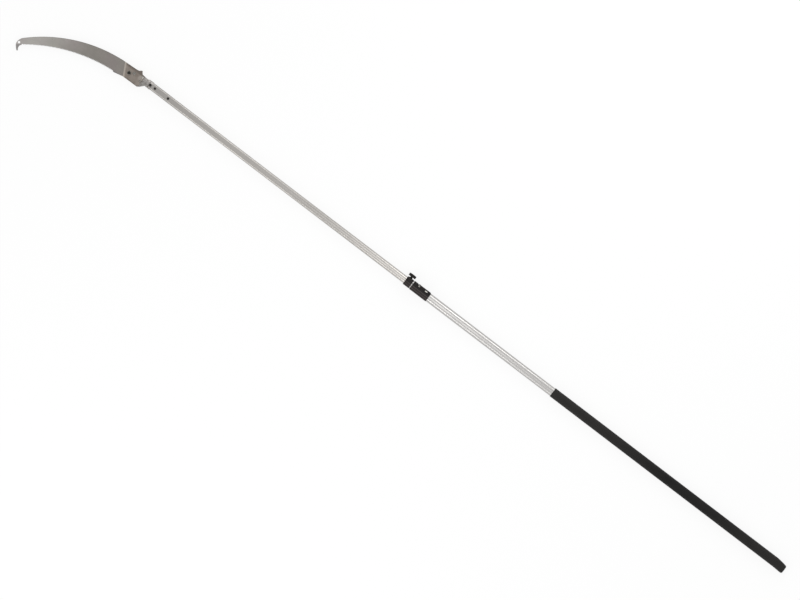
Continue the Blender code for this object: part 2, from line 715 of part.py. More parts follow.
def pin_spring():
    """Compression spring between the pin's shoulder and the gland's cap."""
    low = PIN_SHOULDER + GAP + SPRING_WIRE / 2
    high = GLAND_TOP - GLAND_CAP - GAP - SPRING_WIRE / 2
    per_turn = 10
    count = SPRING_TURNS * per_turn
    curve = bpy.data.curves.new("pin_spring", "CURVE")
    curve.dimensions = "3D"
    curve.bevel_depth = SPRING_WIRE / 2
    curve.bevel_resolution = 1
    curve.use_fill_caps = True
    spline = curve.splines.new("POLY")
    spline.points.add(count)
    for step, point in enumerate(spline.points):
        angle = 2 * math.pi * step / per_turn
        height = low + (high - low) * step / count
        point.co = (SPRING_MEAN / 2 * math.cos(angle), SPRING_MEAN / 2 * math.sin(angle), height, 1)
    spring = bpy.data.objects.new("pin_spring", curve)
    PARTS.objects.link(spring)
    return finish(ON_PIN(spring), ZINC_STEEL)


def lock_knob():
    """Lobed hand knob, hollow underneath so that it clears the gland's chimney."""
    outline = []
    count = KNOB_LOBES * 6
    for step in range(count):
        angle = 2 * math.pi * step / count
        dip = KNOB_LOBE_DEPTH * (1 - math.cos(KNOB_LOBES * angle)) / 2
        radius = KNOB_DIAMETER / 2 - dip
        outline.append((radius * math.cos(angle), radius * math.sin(angle)))
    knob = ON_PIN(slab("lock_knob", [outline], KNOB_UNDERSIDE, KNOB_REACH))
    bevel(knob, KNOB_EDGE, 2, 60)
    cavity_floor = KNOB_UNDERSIDE - OVERSHOOT
    cavity = rod("knob_cavity", KNOB_CAVITY, cavity_floor, KNOB_CAVITY_TOP, ROUND_SIDES)
    hole_width = KNOB_SCREW.shank + 2 * GAP
    hole = drill("knob_screw_hole", hole_width, KNOB_UNDERSIDE, 2 * KNOB_REACH, ON_PIN)
    seat = screw_seat("knob_screw_seat", KNOB_SCREW, KNOB_SCREW_TOP, ON_PIN)
    cut(knob, as_cutter(ON_PIN(cavity)), hole, seat)
    return finish(knob, BLACK_NYLON, PIN_SLIDE, smooth=True)


def knob_screw():
    screw = socket_screw("knob_screw", KNOB_SCREW, KNOB_SCREW_TOP, KNOB_SCREW_LENGTH, ON_PIN)
    return finish(screw, BLACK_STEEL, PIN_SLIDE, smooth=True)


def inner_tube():
    section = [oval(*UPPER), oval(*grown(UPPER, -UPPER_WALL))]
    tube = tube_piece("inner_tube", section, UPPER_START, UPPER_END)
    for number in range(LOCK_HOLE_COUNT):
        put = on_edge(PIN_PLACE + UPPER_TRAVEL * number / (LOCK_HOLE_COUNT - 1))
        name = f"lock_hole_{number + 1}"
        cut(tube, drill(name, GLAND_BORE, UPPER_WIDTH / 4, UPPER_WIDTH, put))
    cut(tube, *TANG_HOLES)
    return finish(tube, UPPER_ALUMINIUM, TELESCOPE, smooth=True)


def tail_guide():
    """Nylon foot in the upper tube's lower end, which runs in the handle tube's bore."""
    start = UPPER_START - TAIL_FLANGE
    guide = tube_piece("tail_guide", [oval(*IN_TUBE)], start, UPPER_START - GAP)
    spigot_start, spigot_end = UPPER_START - TAIL_FLANGE / 2, UPPER_START + TAIL_SPIGOT
    spigot = tube_piece("tail_spigot", [oval(*IN_UPPER)], spigot_start, spigot_end)
    vent_section = [circle((0, 0), TAIL_VENT)]
    vent = tube_piece("tail_vent", vent_section, start - OVERSHOOT, spigot_end + OVERSHOOT)
    unite(guide, as_cutter(spigot))
    cut(guide, as_cutter(vent))
    return finish(guide, GREY_NYLON, TELESCOPE, smooth=True)


def tube_ferrule():
    """Ring over the upper tube's end, held to it by a groove that is rolled round it."""
    outside = grown(OVER_UPPER, FERRULE_WALL)
    ferrule = tube_piece(
        "tube_ferrule", [oval(*outside), oval(*OVER_UPPER)], FERRULE_START, FERRULE_END
    )
    rolled = [oval(*grown(outside, FERRULE_WALL)), oval(*grown(outside, -GROOVE_DEPTH))]
    groove = tube_piece("ferrule_groove", rolled, GROOVE_START, GROOVE_END)
    cut(ferrule, TANG_HOLES[0], as_cutter(groove))
    return finish(ferrule, CAST_ALUMINIUM, TELESCOPE, smooth=True)


def head_core():
    """Cast plug in the tube, with the neck and the flat tongue between the holder plates."""
    core = tube_piece("head_core", [oval(*IN_UPPER)], CORE_START, CORE_MOUTH_END)
    mouth = tube_piece("core_mouth", [oval(*UPPER)], UPPER_END + GAP, CORE_MOUTH_END)
    neck_outline = [
        (UPPER_END + 0.002, 0.0110),
        (UPPER_END + 0.002, -0.0110),
        (CORE_MOUTH_END, -0.0132),
        (NECK_END, -0.0138),
        (NECK_END, 0.0345),
        (3.1985, 0.0325),
        (CORE_MOUTH_END, 0.0165),
    ]
    half_neck, half_tongue = NECK_THICKNESS / 2, TONGUE_THICKNESS / 2
    neck = slab("core_neck", [neck_outline], -half_neck, half_neck)
    bevel(neck, NECK_EDGE)
    tongue_outline = [
        (TONGUE_START, -0.0120),
        (TONGUE_END, -0.0120),
        (TONGUE_END, 0.0300),
        (TONGUE_START, 0.0270),
    ]
    tongue = slab("core_tongue", [tongue_outline], -half_tongue, half_tongue)
    unite(core, as_cutter(mouth), as_cutter(neck), as_cutter(tongue))
    # Two shallow casting pockets on each face of the neck, with a rib between them
    pockets = {
        "upper": [(3.1865, -0.0105), (3.1995, -0.0105), (3.1995, -0.0015), (3.1865, -0.0015)],
        "lower": [(3.1865, 0.0020), (3.1995, 0.0020), (3.1995, 0.0270), (3.1865, 0.0140)],
    }
    for name, outline in pockets.items():
        near_floor = half_neck - NECK_POCKET
        near = slab(f"{name}_pocket_near", [outline], near_floor, half_neck + OVERSHOOT)
        far = slab(f"{name}_pocket_far", [outline], -half_neck - OVERSHOOT, -near_floor)
        cut(core, as_cutter(near), as_cutter(far))
    cut(core, *TANG_HOLES, *NECK_RIVET_HOLES)
    return finish(core, CAST_ALUMINIUM, TELESCOPE, smooth=True)


def tang_bolt(end):
    """Button-head bolt through the tube and the core, with its nut on the far side."""
    size = TANG_BOLTS[end]
    put = on_face(TANG_BOLT_PLACES[end])
    surface = UPPER_HEIGHT / 2 + GAP
    if end == "front":
        surface += FERRULE_WALL + GAP
    length = 2 * surface + TANG_NUT.height + GAP
    bolt = socket_screw(f"tang_bolt_{end}", size, surface + size.height, length, put)
    finish(bolt, BLACK_STEEL, TELESCOPE, smooth=True)
    nut = hex_nut(f"tang_nut_{end}", TANG_NUT, size.shank, -surface - TANG_NUT.height, put)
    finish(nut, ZINC_STEEL, TELESCOPE)


def holder_outline():
    rear = NECK_END + GAP
    heel_radius = 0.0040
    heel_centre = (rear + heel_radius, 0.0335)
    return [
        (3.3030, -0.0140),
        (3.2750, 0.0385),
        *arc(heel_centre, heel_radius, 90, 180, 3),
        (rear, -0.0138),
        (3.2170, -0.0152),
        (3.2256, -0.0262),
        (3.2272, -0.0262),
        (3.2370, -0.0186),
        (3.2500, -0.0168),
    ]


def holder_plate(name, side):
    """Pressed cheek of the blade holder, joggled outwards over the core's tongue."""
    front_low = BLADE_THICKNESS / 2 + GAP
    rear_low = TONGUE_THICKNESS / 2 + GAP
    holes = [
        circle(BLADE_BOLT_PLACE, BLADE_BOLT_DIAMETER + 2 * GAP),
        circle(BLADE_SCREW_PLACE, BLADE_SCREW.shank + 2 * GAP),
    ]
    for place in NECK_RIVET_PLACES.values():
        holes.append(circle(place, NECK_RIVET.shank + 2 * GAP))
    plate = slab(name, [holder_outline(), *holes], 0, PLATE_THICKNESS)
    geometry = bmesh.new()
    geometry.from_mesh(plate.data)
    for crease in (JOGGLE_START, JOGGLE_END):
        everything = geometry.verts[:] + geometry.edges[:] + geometry.faces[:]
        bmesh.ops.bisect_plane(
            geometry, geom=everything, plane_co=(crease, 0, 0), plane_no=(1, 0, 0), dist=0.000001
        )
    for vertex in geometry.verts:
        slope = (JOGGLE_END - vertex.co.x) / (JOGGLE_END - JOGGLE_START)
        lift = front_low + (rear_low - front_low) * min(max(slope, 0), 1)
        vertex.co.z = side * (vertex.co.z + lift)
    if side < 0:
        bmesh.ops.reverse_faces(geometry, faces=geometry.faces)
    geometry.to_mesh(plate.data)
    geometry.free()
    return finish(plate, HOLDER_STEEL, TELESCOPE)


def blade_back():
    """Points of the blade's back and of its rounded nose, which runs on from it smoothly."""
    angles = []
    for x in (BLADE_TAIL, NOSE_START):
        angles.append(math.degrees(math.asin((x - BACK_CENTRE[0]) / BACK_RADIUS)) - 90)
    back = arc(BACK_CENTRE, BACK_RADIUS, *angles, 36)
    turn = math.radians(angles[1])
    nose_centre = (
        back[-1][0] - NOSE_RADIUS * math.cos(turn),
        back[-1][1] - NOSE_RADIUS * math.sin(turn),
    )
    nose = arc(nose_centre, NOSE_RADIUS, angles[1], 8, 7)
    return back + nose[1:]


def teeth():
    """Points of the toothed edge from the hook back to the heel, on its arc."""
    first = math.asin((TEETH_STOP - TEETH_CENTRE[0]) / TEETH_RADIUS)
    last = math.asin((TEETH_START - TEETH_CENTRE[0]) / TEETH_RADIUS)
    count = round((first - last) * TEETH_RADIUS / TOOTH_PITCH)
    step = (first - last) / count
    points = []
    for number in range(count):
        for share, depth in ((0.0, 0.5), (1 - TOOTH_LEAN, -0.5)):
            angle = first - step * (number + share)
            radius = TEETH_RADIUS + depth * TOOTH_DEPTH
            x = TEETH_CENTRE[0] + radius * math.sin(angle)
            y = TEETH_CENTRE[1] - radius * math.cos(angle)
            points.append((x, y))
    return points


def saw_blade():
    hook = [
        (3.6912, 0.1925),
        (3.6755, 0.2110),
        (3.6712, HOOK_REACH),
        (3.6696, 0.2082),
        (3.6748, 0.1990),
        (3.6758, 0.1925),
        (3.6746, 0.1875),
        (3.6712, 0.1838),
    ]
    heel = [
        (3.3195, 0.0455),
        (3.3150, 0.0472),
        (3.3100, 0.0464),
        (3.2700, 0.0372),
        (3.2400, 0.0330),
        (3.2285, 0.0310),
        (BLADE_TAIL, 0.0280),
    ]
    holes = [
        circle(TIP_HOLE, TIP_HOLE_DIAMETER),
        circle(BLADE_BOLT_PLACE, BLADE_BOLT_DIAMETER + 2 * GAP),
        circle(BLADE_SCREW_PLACE, BLADE_SCREW.shank + 2 * GAP),
    ]
    outline = blade_back() + hook + teeth() + heel
    blade = slab("saw_blade", [outline, *holes], -BLADE_THICKNESS / 2, BLADE_THICKNESS / 2)
    return finish(blade, BLADE_STEEL, TELESCOPE)


def blade_bolt(surface):
    """Pivot bolt of the blade with a washer under its head and another under its nut."""
    put = on_face(BLADE_BOLT_PLACE)
    hole = BLADE_BOLT_DIAMETER + 2 * GAP
    washers = {"blade_washer_near": surface, "blade_washer_far": -surface - WASHER_THICKNESS}
    for name, low in washers.items():
        rings = [circle((0, 0), WASHER_DIAMETER, ROUND_SIDES), circle((0, 0), hole)]
        finish(put(slab(name, rings, low, low + WASHER_THICKNESS)), ZINC_STEEL, TELESCOPE)
    seat = surface + WASHER_THICKNESS + GAP
    tail = -seat - BLADE_NUT.height - THREAD_OUT
    bolt = rod("blade_bolt", BLADE_BOLT_DIAMETER, tail, seat + BLADE_BOLT_HEAD.height / 2)
    head_outline = [hexagon(BLADE_BOLT_HEAD.flats)]
    head = slab("blade_bolt_head", head_outline, seat, seat + BLADE_BOLT_HEAD.height)
    unite(put(bolt), as_cutter(put(head)))
    finish(bolt, BLACK_STEEL, TELESCOPE)
    nut_low = -seat - BLADE_NUT.height
    nut = hex_nut("blade_nut", BLADE_NUT, BLADE_BOLT_DIAMETER, nut_low, put)
    finish(nut, ZINC_STEEL, TELESCOPE)


def blade_screw(surface):
    put = on_face(BLADE_SCREW_PLACE)
    length = 2 * surface + BLADE_SCREW_NUT.height + THREAD_OUT
    top = surface + BLADE_SCREW.height
    screw = socket_screw("blade_screw", BLADE_SCREW, top, length, put)
    finish(screw, ZINC_STEEL, TELESCOPE, smooth=True)
    nut_low = -surface - BLADE_SCREW_NUT.height
    nut = hex_nut("blade_screw_nut", BLADE_SCREW_NUT, BLADE_SCREW.shank, nut_low, put)
    finish(nut, ZINC_STEEL, TELESCOPE)


# Holes that pass through more than one piece
GLAND_HOLE = gland_hole()
CLAMP_SCREW_HOLES = clamp_screw_holes()
COLLAR_SCREW_HOLE = collar_screw_hole()
TANG_HOLES = tang_holes()
NECK_RIVET_HOLES = neck_rivet_holes()

# Handle pole with its clamp and its lock collar
outer_tube()
grip_sleeve()
butt_cap()
front_bush()
clamp_body()
clamp_screw("rear")
clamp_screw("front")
lever_pin("lever_pin_near", False)
lever_pin("lever_pin_far", True)
catch_stud("catch_stud_near", False)
catch_stud("catch_stud_far", True)
clamp_lever()
brake_shoe()
lock_collar()
collar_screw("collar_screw_near", False)
collar_screw("collar_screw_far", True)
pin_gland()
lock_pin()
pin_spring()
lock_knob()
knob_screw()

# Upper pole with its saw head
inner_tube()
tail_guide()
tube_ferrule()
head_core()
tang_bolt("front")
tang_bolt("rear")
through_rivet("tang_rivet", TANG_RIVET, TANG_RIVET_PLACE, UPPER_HEIGHT / 2, BLACK_STEEL)
NECK_STACK = TONGUE_THICKNESS / 2 + GAP + PLATE_THICKNESS
for rivet_side, rivet_place in NECK_RIVET_PLACES.items():
    through_rivet(f"neck_rivet_{rivet_side}", NECK_RIVET, rivet_place, NECK_STACK, ZINC_STEEL)
holder_plate("holder_plate_near", 1)
holder_plate("holder_plate_far", -1)
saw_blade()
HEAD_SURFACE = BLADE_THICKNESS / 2 + GAP + PLATE_THICKNESS + GAP
blade_bolt(HEAD_SURFACE)
blade_screw(HEAD_SURFACE)
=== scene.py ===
"""Looks of the telescopic pole saw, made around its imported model.

Everything is drawn in the pole frame and moved to its place as it is finished. The pole frame has
its origin on the pole's axis at the butt: +X runs along the pole to the blade, +Y points to the
toothed side of the blade and +Z points up, square to the blade. Lengths are metres.
"""

import json
import math

import bmesh
import bpy
from mathutils import Matrix, Vector
from mathutils.geometry import interpolate_bezier

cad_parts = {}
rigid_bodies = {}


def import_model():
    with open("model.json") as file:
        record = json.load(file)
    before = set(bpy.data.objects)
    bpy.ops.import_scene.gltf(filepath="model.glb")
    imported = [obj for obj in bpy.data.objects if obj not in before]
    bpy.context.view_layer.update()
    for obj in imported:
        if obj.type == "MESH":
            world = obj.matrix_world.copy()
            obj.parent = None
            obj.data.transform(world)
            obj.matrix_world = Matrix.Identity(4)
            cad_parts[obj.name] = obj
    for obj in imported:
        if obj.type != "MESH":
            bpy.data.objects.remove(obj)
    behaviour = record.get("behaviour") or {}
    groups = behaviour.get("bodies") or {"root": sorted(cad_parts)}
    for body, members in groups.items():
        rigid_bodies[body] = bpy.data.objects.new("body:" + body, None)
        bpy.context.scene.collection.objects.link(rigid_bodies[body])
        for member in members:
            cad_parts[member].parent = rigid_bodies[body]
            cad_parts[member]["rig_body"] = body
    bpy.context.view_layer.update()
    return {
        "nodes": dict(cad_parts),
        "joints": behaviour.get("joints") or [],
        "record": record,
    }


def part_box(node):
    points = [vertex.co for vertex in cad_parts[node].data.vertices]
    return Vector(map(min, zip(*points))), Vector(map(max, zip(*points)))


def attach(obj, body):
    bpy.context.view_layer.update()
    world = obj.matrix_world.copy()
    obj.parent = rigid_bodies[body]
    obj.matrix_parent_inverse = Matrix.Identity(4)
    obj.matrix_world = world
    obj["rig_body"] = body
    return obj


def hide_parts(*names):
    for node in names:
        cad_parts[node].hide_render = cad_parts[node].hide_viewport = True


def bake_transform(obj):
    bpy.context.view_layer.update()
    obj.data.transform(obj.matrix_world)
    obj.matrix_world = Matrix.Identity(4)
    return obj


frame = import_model()

TUBE_LOW, TUBE_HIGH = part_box("outer_tube")
TUBE_MIDDLE, TUBE_SIZE = (TUBE_LOW + TUBE_HIGH) / 2, TUBE_HIGH - TUBE_LOW
POLE = Vector((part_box("butt_cap")[0].x, TUBE_MIDDLE.y, TUBE_MIDDLE.z))


def span(node):
    """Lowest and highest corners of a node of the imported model, in the pole frame."""
    low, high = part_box(node)
    return low - POLE, high - POLE


def level(node):
    """The place of a node's middle, brought to the height of the pole's axis."""
    low, high = span(node)
    return Vector(((low.x + high.x) / 2, (low.y + high.y) / 2, 0))


# Clearance between neighbours, how near two points are one, and sides of round shapes
GAP, MERGE = 0.0003, 0.000002
FINE, ROUND, SHANK_SIDES = 96, 64, 32

# How far from the pole's axis cutters may end: inside both tubes, and outside their blocks
INSIDE, OUTSIDE = 0.010, 0.030

# Walls, edges and flutes of the tubes and the sleeve, and where a hand holds it
TUBE_WALL, UPPER_WALL, FERRULE_WALL = 0.0014, 0.0013, 0.0012
TUBE_EDGE, SLEEVE_EDGE, FERRULE_EDGE = 0.0003, 0.0010, 0.0005
GRIP_FLUTES, GRIP_FLUTE_DEPTH, FLUTE_POINTS, OUTER_SKIN = 44, 0.00022, 6, 0.488
HOLD_PLACE = 0.50
PLUG_START, PLUG_WALL, PLUG_EDGE = 0.020, 0.0029, 0.0008

# Clamp block, its lever pocket and the fine ribs that run along it. The blocks lie on the floor,
# so their flat faces are as far from the axis as the floor is.
CLAMP_CORNER, COLLAR_CORNER, MOULD_EDGE = 0.0050, 0.0060, 0.0007
RIB_PLACES, RIB_WIDTH, RIB_HEIGHT, BLOCK_FACE = (0.0018, 0.0109), 0.0017, 0.0004, POLE.z
POCKET_SIDE, POCKET_EDGE, POCKET_FLOOR, POCKET_END = -0.0053, -0.0172, 0.0163, 1.842
LEVER_BACK, LEVER_RIDGES = -0.0200, 6
RIDGE_STEP, RIDGE_WIDTH, RIDGE_LENGTH = 0.0024, 0.0012, 0.026
LEVER_PIN_HOLE, LEVER_PIN_SHANK = 0.0056, 0.0050
COLLAR_RIM, COLLAR_WAIST, COLLAR_LIP = 0.0042, 0.0380, 0.0050
SCREW_BOSS, GLAND_BOSS, BOSS_FOOT, BOSS_SINK = 0.0120, 0.0150, 0.017, 0.0002
SHOE_CLEARANCE = 0.0006

# Lock pin's gland and knob, its spring and its holes in the upper pole
GLAND_DIAMETER, GLAND_BORE, GLAND_FLANGE, GLAND_CAP = 0.0100, 0.0078, 0.0136, 0.0012
GLAND_SEAT, GLAND_FLANGE_TOP, STEM_HOLE = 0.0199, 0.0215, 0.0052
KNOB_LOBES, LOBE_POINTS, KNOB_LOBE_DEPTH, KNOB_CROWN, KNOB_ROUNDING = 12, 12.0, 0.0006, 0.0010, 0.045
KNOB_CAVITY, KNOB_CAVITY_TOP, KNOB_SCREW_HOLE = 0.0112, 0.0332, 0.0030
LOCK_HOLES = 4
SPRING_WIRE, SPRING_TURNS, COIL_STEPS = 0.0008, 5, 24

# Groove rolled round the ferrule, which holds it on the tube
GROOVE_START, GROOVE_END, GROOVE_DEPTH = 3.1698, 3.1750, 0.0008

# Blade: its back and nose, its toothed arc, its hook and its holes
BLADE_THICKNESS, BLADE_EDGE = 0.0016, 0.00022
BLADE_TAIL = 3.2255
BACK_CENTRE, BACK_RADIUS = Vector((3.2625, 0.5806)), 0.5960
NOSE_START, NOSE_RADIUS, NOSE_END = 3.682, 0.0371, 8
TEETH_CENTRE, TEETH_RADIUS = Vector((3.2614, 0.7137)), 0.6723
TEETH_START, TEETH_STOP = 3.322, 3.668
TOOTH_PITCH, TOOTH_DEPTH, TOOTH_LEAN = 0.00545, 0.0040, -0.16
TOOTH_GRIND, TOOTH_SET, TOOTH_ROOT = 0.30, 0.045, 0.0014
TOOTH_TAPER, TOOTH_CUT_BACK = -0.98, 0.6
TIP_HOLE, TIP_HOLE_DIAMETER = (3.685, 0.1805), 0.0095
HOLDER_CORNER, HOLDER_INWARDS = Vector((3.303, -0.014)), Vector((-0.8824, -0.4706))
PALE_NECK_PLACE = Vector((3.2135, 0.0010))

# Fasteners: shanks, holes, heads and shares of a head's width or height. A hexagon is drawn by its
# corners, which are farther apart than its flats.
BOLT_SHANK, SCREW_SHANK, SMALL_SHANK = 0.0080, 0.0060, 0.0028
BOLT_HOLE, SCREW_HOLE, KNOB_SCREW_HEAD = 0.0086, 0.0066, 0.0011
SOCKET_SHARE, CROWN_SHARE, CORNERS_TO_FLATS = 0.42, 0.3, 1.15

# Turns of a piece that is drawn about Z
UPRIGHT, OVER, INTO_EDGE = (0, 0, 0), (math.pi, 0, 0), (math.pi / 2, 0, 0)
PIN = Vector((level("lock_pin").x, 0, 0))


# Wiring of nodes


class Wiring:
    """The tree that nodes are being added to."""

    tree = None


def maths(operation, flipped=False):
    """An operator of Value that adds a maths node."""
    def operator(*values):
        return calc(operation, *(values[::-1] if flipped else values))
    return operator


class Value:
    """An output of a node. A sum that is done with it adds the nodes which work it out."""

    __add__, __radd__ = maths("ADD"), maths("ADD", flipped=True)
    __sub__, __rsub__ = maths("SUBTRACT"), maths("SUBTRACT", flipped=True)
    __mul__, __truediv__, __pow__ = maths("MULTIPLY"), maths("DIVIDE"), maths("POWER")
    __abs__, __gt__ = maths("ABSOLUTE"), maths("GREATER_THAN")

    def __init__(self, socket):
        self.socket = socket


def feed(socket, value):
    """Give an input a fixed value, or join it to the output that is to drive it."""
    if isinstance(value, Value):
        Wiring.tree.links.new(value.socket, socket)
    else:
        socket.default_value = (*value, 1) if socket.type == "RGBA" else value


def wire(kind, *values, **named):
    """Add a node. Plain values feed its inputs in turn, capitalised names the inputs of that name,
    with _ for a space, and other names are its settings."""
    made = Wiring.tree.nodes.new(kind)
    inputs = dict(enumerate(values))
    for name, value in named.items():
        if name.islower():
            setattr(made, name, value)
        else:
            inputs[name.replace("_", " ")] = value
    for name, value in inputs.items():
        feed(made.inputs[name], value)
    return made


def add(kind, *values, out=0, **named):
    """Add a node and give back one of its outputs."""
    return Value(wire(kind, *values, **named).outputs[out])


def calc(operation, *values, clamp=False):
    """A sum with numbers."""
    return add("ShaderNodeMath", *values, operation=operation, use_clamp=clamp)


def vectors(operation, *values):
    """A sum with vectors, which gives a vector, or a number for a length or a dot product."""
    out = "Value" if operation in ("LENGTH", "DOT_PRODUCT") else "Vector"
    return add("ShaderNodeVectorMath", *values, operation=operation, out=out)


def scaled(vector_value, factor):
    return add("ShaderNodeVectorMath", vector_value, Scale=factor, operation="SCALE")


def vector(x=0.0, y=0.0, z=0.0):
    return add("ShaderNodeCombineXYZ", x, y, z)


def split(place):
    """The three parts of a place."""
    return [Value(socket) for socket in wire("ShaderNodeSeparateXYZ", place).outputs]


def distance(place, centre=None):
    """How far each place is from a centre in the pole frame, or from Z, seen from above."""
    flat = vectors("MULTIPLY", place, (1, 1, 0))
    if centre:
        flat = vectors("SUBTRACT", flat, (*(centre + POLE.xy), 0))
    return vectors("LENGTH", flat)


def remap(value, low, high, to_low=0.0, to_high=1.0):
    """Carry a value over from one range to another, and hold it inside that."""
    return add("ShaderNodeMapRange", value, low, high, to_low, to_high)


def between(mask, low, high):
    """Low where a mask is 0 and high where it is 1."""
    return remap(mask, 0.0, 1.0, low, high)


def blend(mask, first, second, data_type="RGBA", **settings):
    """Go by a mask from one colour to another, or from one number to another."""
    made = wire("ShaderNodeMix", mask, data_type=data_type, **settings)
    start, out = (6, 2) if data_type == "RGBA" else (2, 0)
    feed(made.inputs[start], first)
    feed(made.inputs[start + 1], second)
    return Value(made.outputs[out])


def noise(place, scale=1.0, detail=2.0, roughness=0.5):
    return add("ShaderNodeTexNoise", Vector=place, Scale=scale, Detail=detail, Roughness=roughness)


class Given:
    """The inputs of the group that is being wired, by their titles. The last socket has none."""

    def __init__(self, sockets):
        for socket in sockets:
            if socket.name:
                setattr(self, socket.name, Value(socket))


def new_group(name, kind, output, output_kind, **inputs):
    """Start a group of nodes, each input made from its starting value or its kind of socket."""
    tree = Wiring.tree = bpy.data.node_groups.new(name, kind)
    kinds = {int: "NodeSocketInt", float: "NodeSocketFloat", tuple: "NodeSocketVector"}
    for title, value in inputs.items():
        fixed = type(value) in kinds
        socket_type = kinds[type(value)] if fixed else value
        socket = tree.interface.new_socket(title, in_out="INPUT", socket_type=socket_type)
        if fixed:
            socket.default_value = value
    tree.interface.new_socket(output, in_out="OUTPUT", socket_type=output_kind)
    return Given(wire("NodeGroupInput").outputs)


def end_group(result):
    wire("NodeGroupOutput", result)
    return Wiring.tree


# Materials: the effects that they share, then one function each


def new_effect(name, **inputs):
    """Start a group that makes a mask from a place."""
    inputs = {"place": "NodeSocketVector", **inputs}
    return new_group(name, "ShaderNodeTree", "mask", "NodeSocketFloat", **inputs)


def drawn_out(given, place):
    """A place scaled so that noise in it is drawn out along the pole."""
    return vectors("MULTIPLY", place, vector(given.along, given.across, given.across))


def grain_effect():
    """Noise drawn out along the pole, from brushing and extruding to plain mottling."""
    given = new_effect("grain", along=10.0, across=1000.0, detail=2.0)
    grain = noise(drawn_out(given, given.place), 1.0, given.detail, 0.55)
    return end_group(remap(grain, 0.28, 0.72))


def scratch_effect():
    """Sparse fine scratches, each a thin line drawn out along the pole."""
    given = new_effect("scratches", along=14.0, across=900.0, amount=0.3)
    slant = (0, 0, math.radians(4))
    place = add("ShaderNodeMapping", Vector=given.place, Rotation=slant)
    line = noise(drawn_out(given, place), detail=0.0)
    thin = remap(abs(line - 0.5), 0.02, 0.0)
    here = noise(given.place, 22.0) > 0.78 - given.amount * 0.35
    return end_group(thin * here)


def edge_effect():
    """Mask that is 1 on rubbed edges, broken up so that the wear isn't a drawn line."""
    given = new_effect("edge_wear", width=0.0006, breakup=900.0)
    rounded = add("ShaderNodeBevel", Radius=given.width, samples=6)
    facing = add("ShaderNodeNewGeometry", out="Normal")
    edge = remap(vectors("DOT_PRODUCT", rounded, facing), 0.995, 0.90)
    return end_group(edge * remap(noise(given.place, given.breakup, 3.0), 0.35, 0.60))


def dirt_and_shade_effect():
    """Mask of corners and the sides of fasteners, from ambient occlusion broken into patches:
    painted shade where a finish darkens it, dust where a finish lightens it.
    """
    given = new_effect("dirt_and_shade", reach=0.004, patches=160.0)
    corner = add("ShaderNodeAmbientOcclusion", Distance=given.reach, samples=6, out="AO")
    hidden = remap(corner, 0.95, 0.45)
    return end_group(hidden * remap(noise(given.place, given.patches, 4.0), 0.30, 0.62))


GRAIN, SCRATCHES, EDGE_WEAR, DIRT_AND_SHADE = grain_effect(), scratch_effect(), edge_effect(), dirt_and_shade_effect()


class Skin:
    """A material in the making: the place on the object and the colour so far."""

    def __init__(self, name, metallic=1.0, specular=0.5):
        self.material = bpy.data.materials.new(name)
        self.material.use_nodes = True
        Wiring.tree = self.material.node_tree
        self.inputs = Wiring.tree.nodes["Principled BSDF"].inputs
        self.inputs["Metallic"].default_value = metallic
        self.inputs["Specular IOR Level"].default_value = specular
        self.place = add("ShaderNodeTexCoord", out="Object")

    def effect(self, group, **values):
        """Put in a shared effect with this material's values, and give back its mask."""
        made = wire("ShaderNodeGroup", self.place, node_tree=group)
        for title, value in values.items():
            feed(made.inputs[title], value)
        return Value(made.outputs["mask"])

    def grain(self, along, across=None, detail=3.0):
        return self.effect(GRAIN, along=along, across=across or along, detail=detail)

    def cover(self, mask, colour):
        """Lay a colour over the one so far, by a mask."""
        self.colour = blend(mask, self.colour, colour)

    def shade(self, factor):
        self.colour = scaled(self.colour, factor)

    def wear(self, share, colour, **values):
        """Rub the edges to another colour."""
        self.cover(self.effect(EDGE_WEAR, **values) * share, colour)

    def soil(self, share, colour, **values):
        """Cover the corners by the occlusion mask: painted shade where the colour is darker, dust
        where it is lighter.
        """
        self.cover(self.effect(DIRT_AND_SHADE, **values) * share, colour)

    def end(self, rough, height, depth):
        """Feed the shader its colour and roughness, and raise its surface by depth metres."""
        bump = add("ShaderNodeBump", Height=height, Distance=depth)
        feed(self.inputs["Base Color"], self.colour)
        feed(self.inputs["Roughness"], rough)
        feed(self.inputs["Normal"], bump)
        return self.material


def brushed_metal(name, dark, light, scratch_amount, painted_light_and_shade=()):
    """Drawn aluminium: lengthwise lines, faint smudges and scratches along its length.

    Each entry: two places on the pole and the colour's share at each, as painted light and shade.
    """
    skin = Skin(name)
    lines, streaks = skin.grain(2.0, 1900.0), skin.grain(0.8, 260.0, 1.0)
    smudges = skin.grain(14.0, 45.0, 4.0)
    scratched = skin.effect(SCRATCHES, amount=scratch_amount)
    skin.colour = blend(calc("MULTIPLY_ADD", lines, 0.45, streaks * 0.55), dark, light)
    for start, end, first, last in painted_light_and_shade:
        along = split(skin.place)[0]
        skin.shade(remap(along, POLE.x + start, POLE.x + end, first, last))
    skin.cover(scratched * 0.5, [part * 0.80 for part in dark])
    # Painted shade in the corners and beside fasteners
    skin.soil(0.6, (0.10, 0.09, 0.08))
    return skin.end(between(smudges, 0.23, 0.36), lines - scratched, 0.000010)


def rubber(name):
    """Black rubber with a fine moulded grain: cleanest where it is held, dusty towards its ends."""
    skin = Skin(name, 0.0, 0.16)
    grain, cloud = skin.grain(1400.0), skin.grain(18.0, 60.0, 4.0)
    from_hold = abs(split(skin.place)[0] - (POLE.x + HOLD_PLACE))
    dusty = calc("MULTIPLY_ADD", cloud, 0.4, remap(from_hold, 0.10, 0.40) * 0.6)
    skin.colour = blend(dusty, (0.0045, 0.0042, 0.0040), (0.0200, 0.0187, 0.0175))
    skin.wear(0.35, (0.05, 0.048, 0.045), width=0.0010)
    return skin.end(between(grain, 0.42, 0.62), grain, 0.00009)


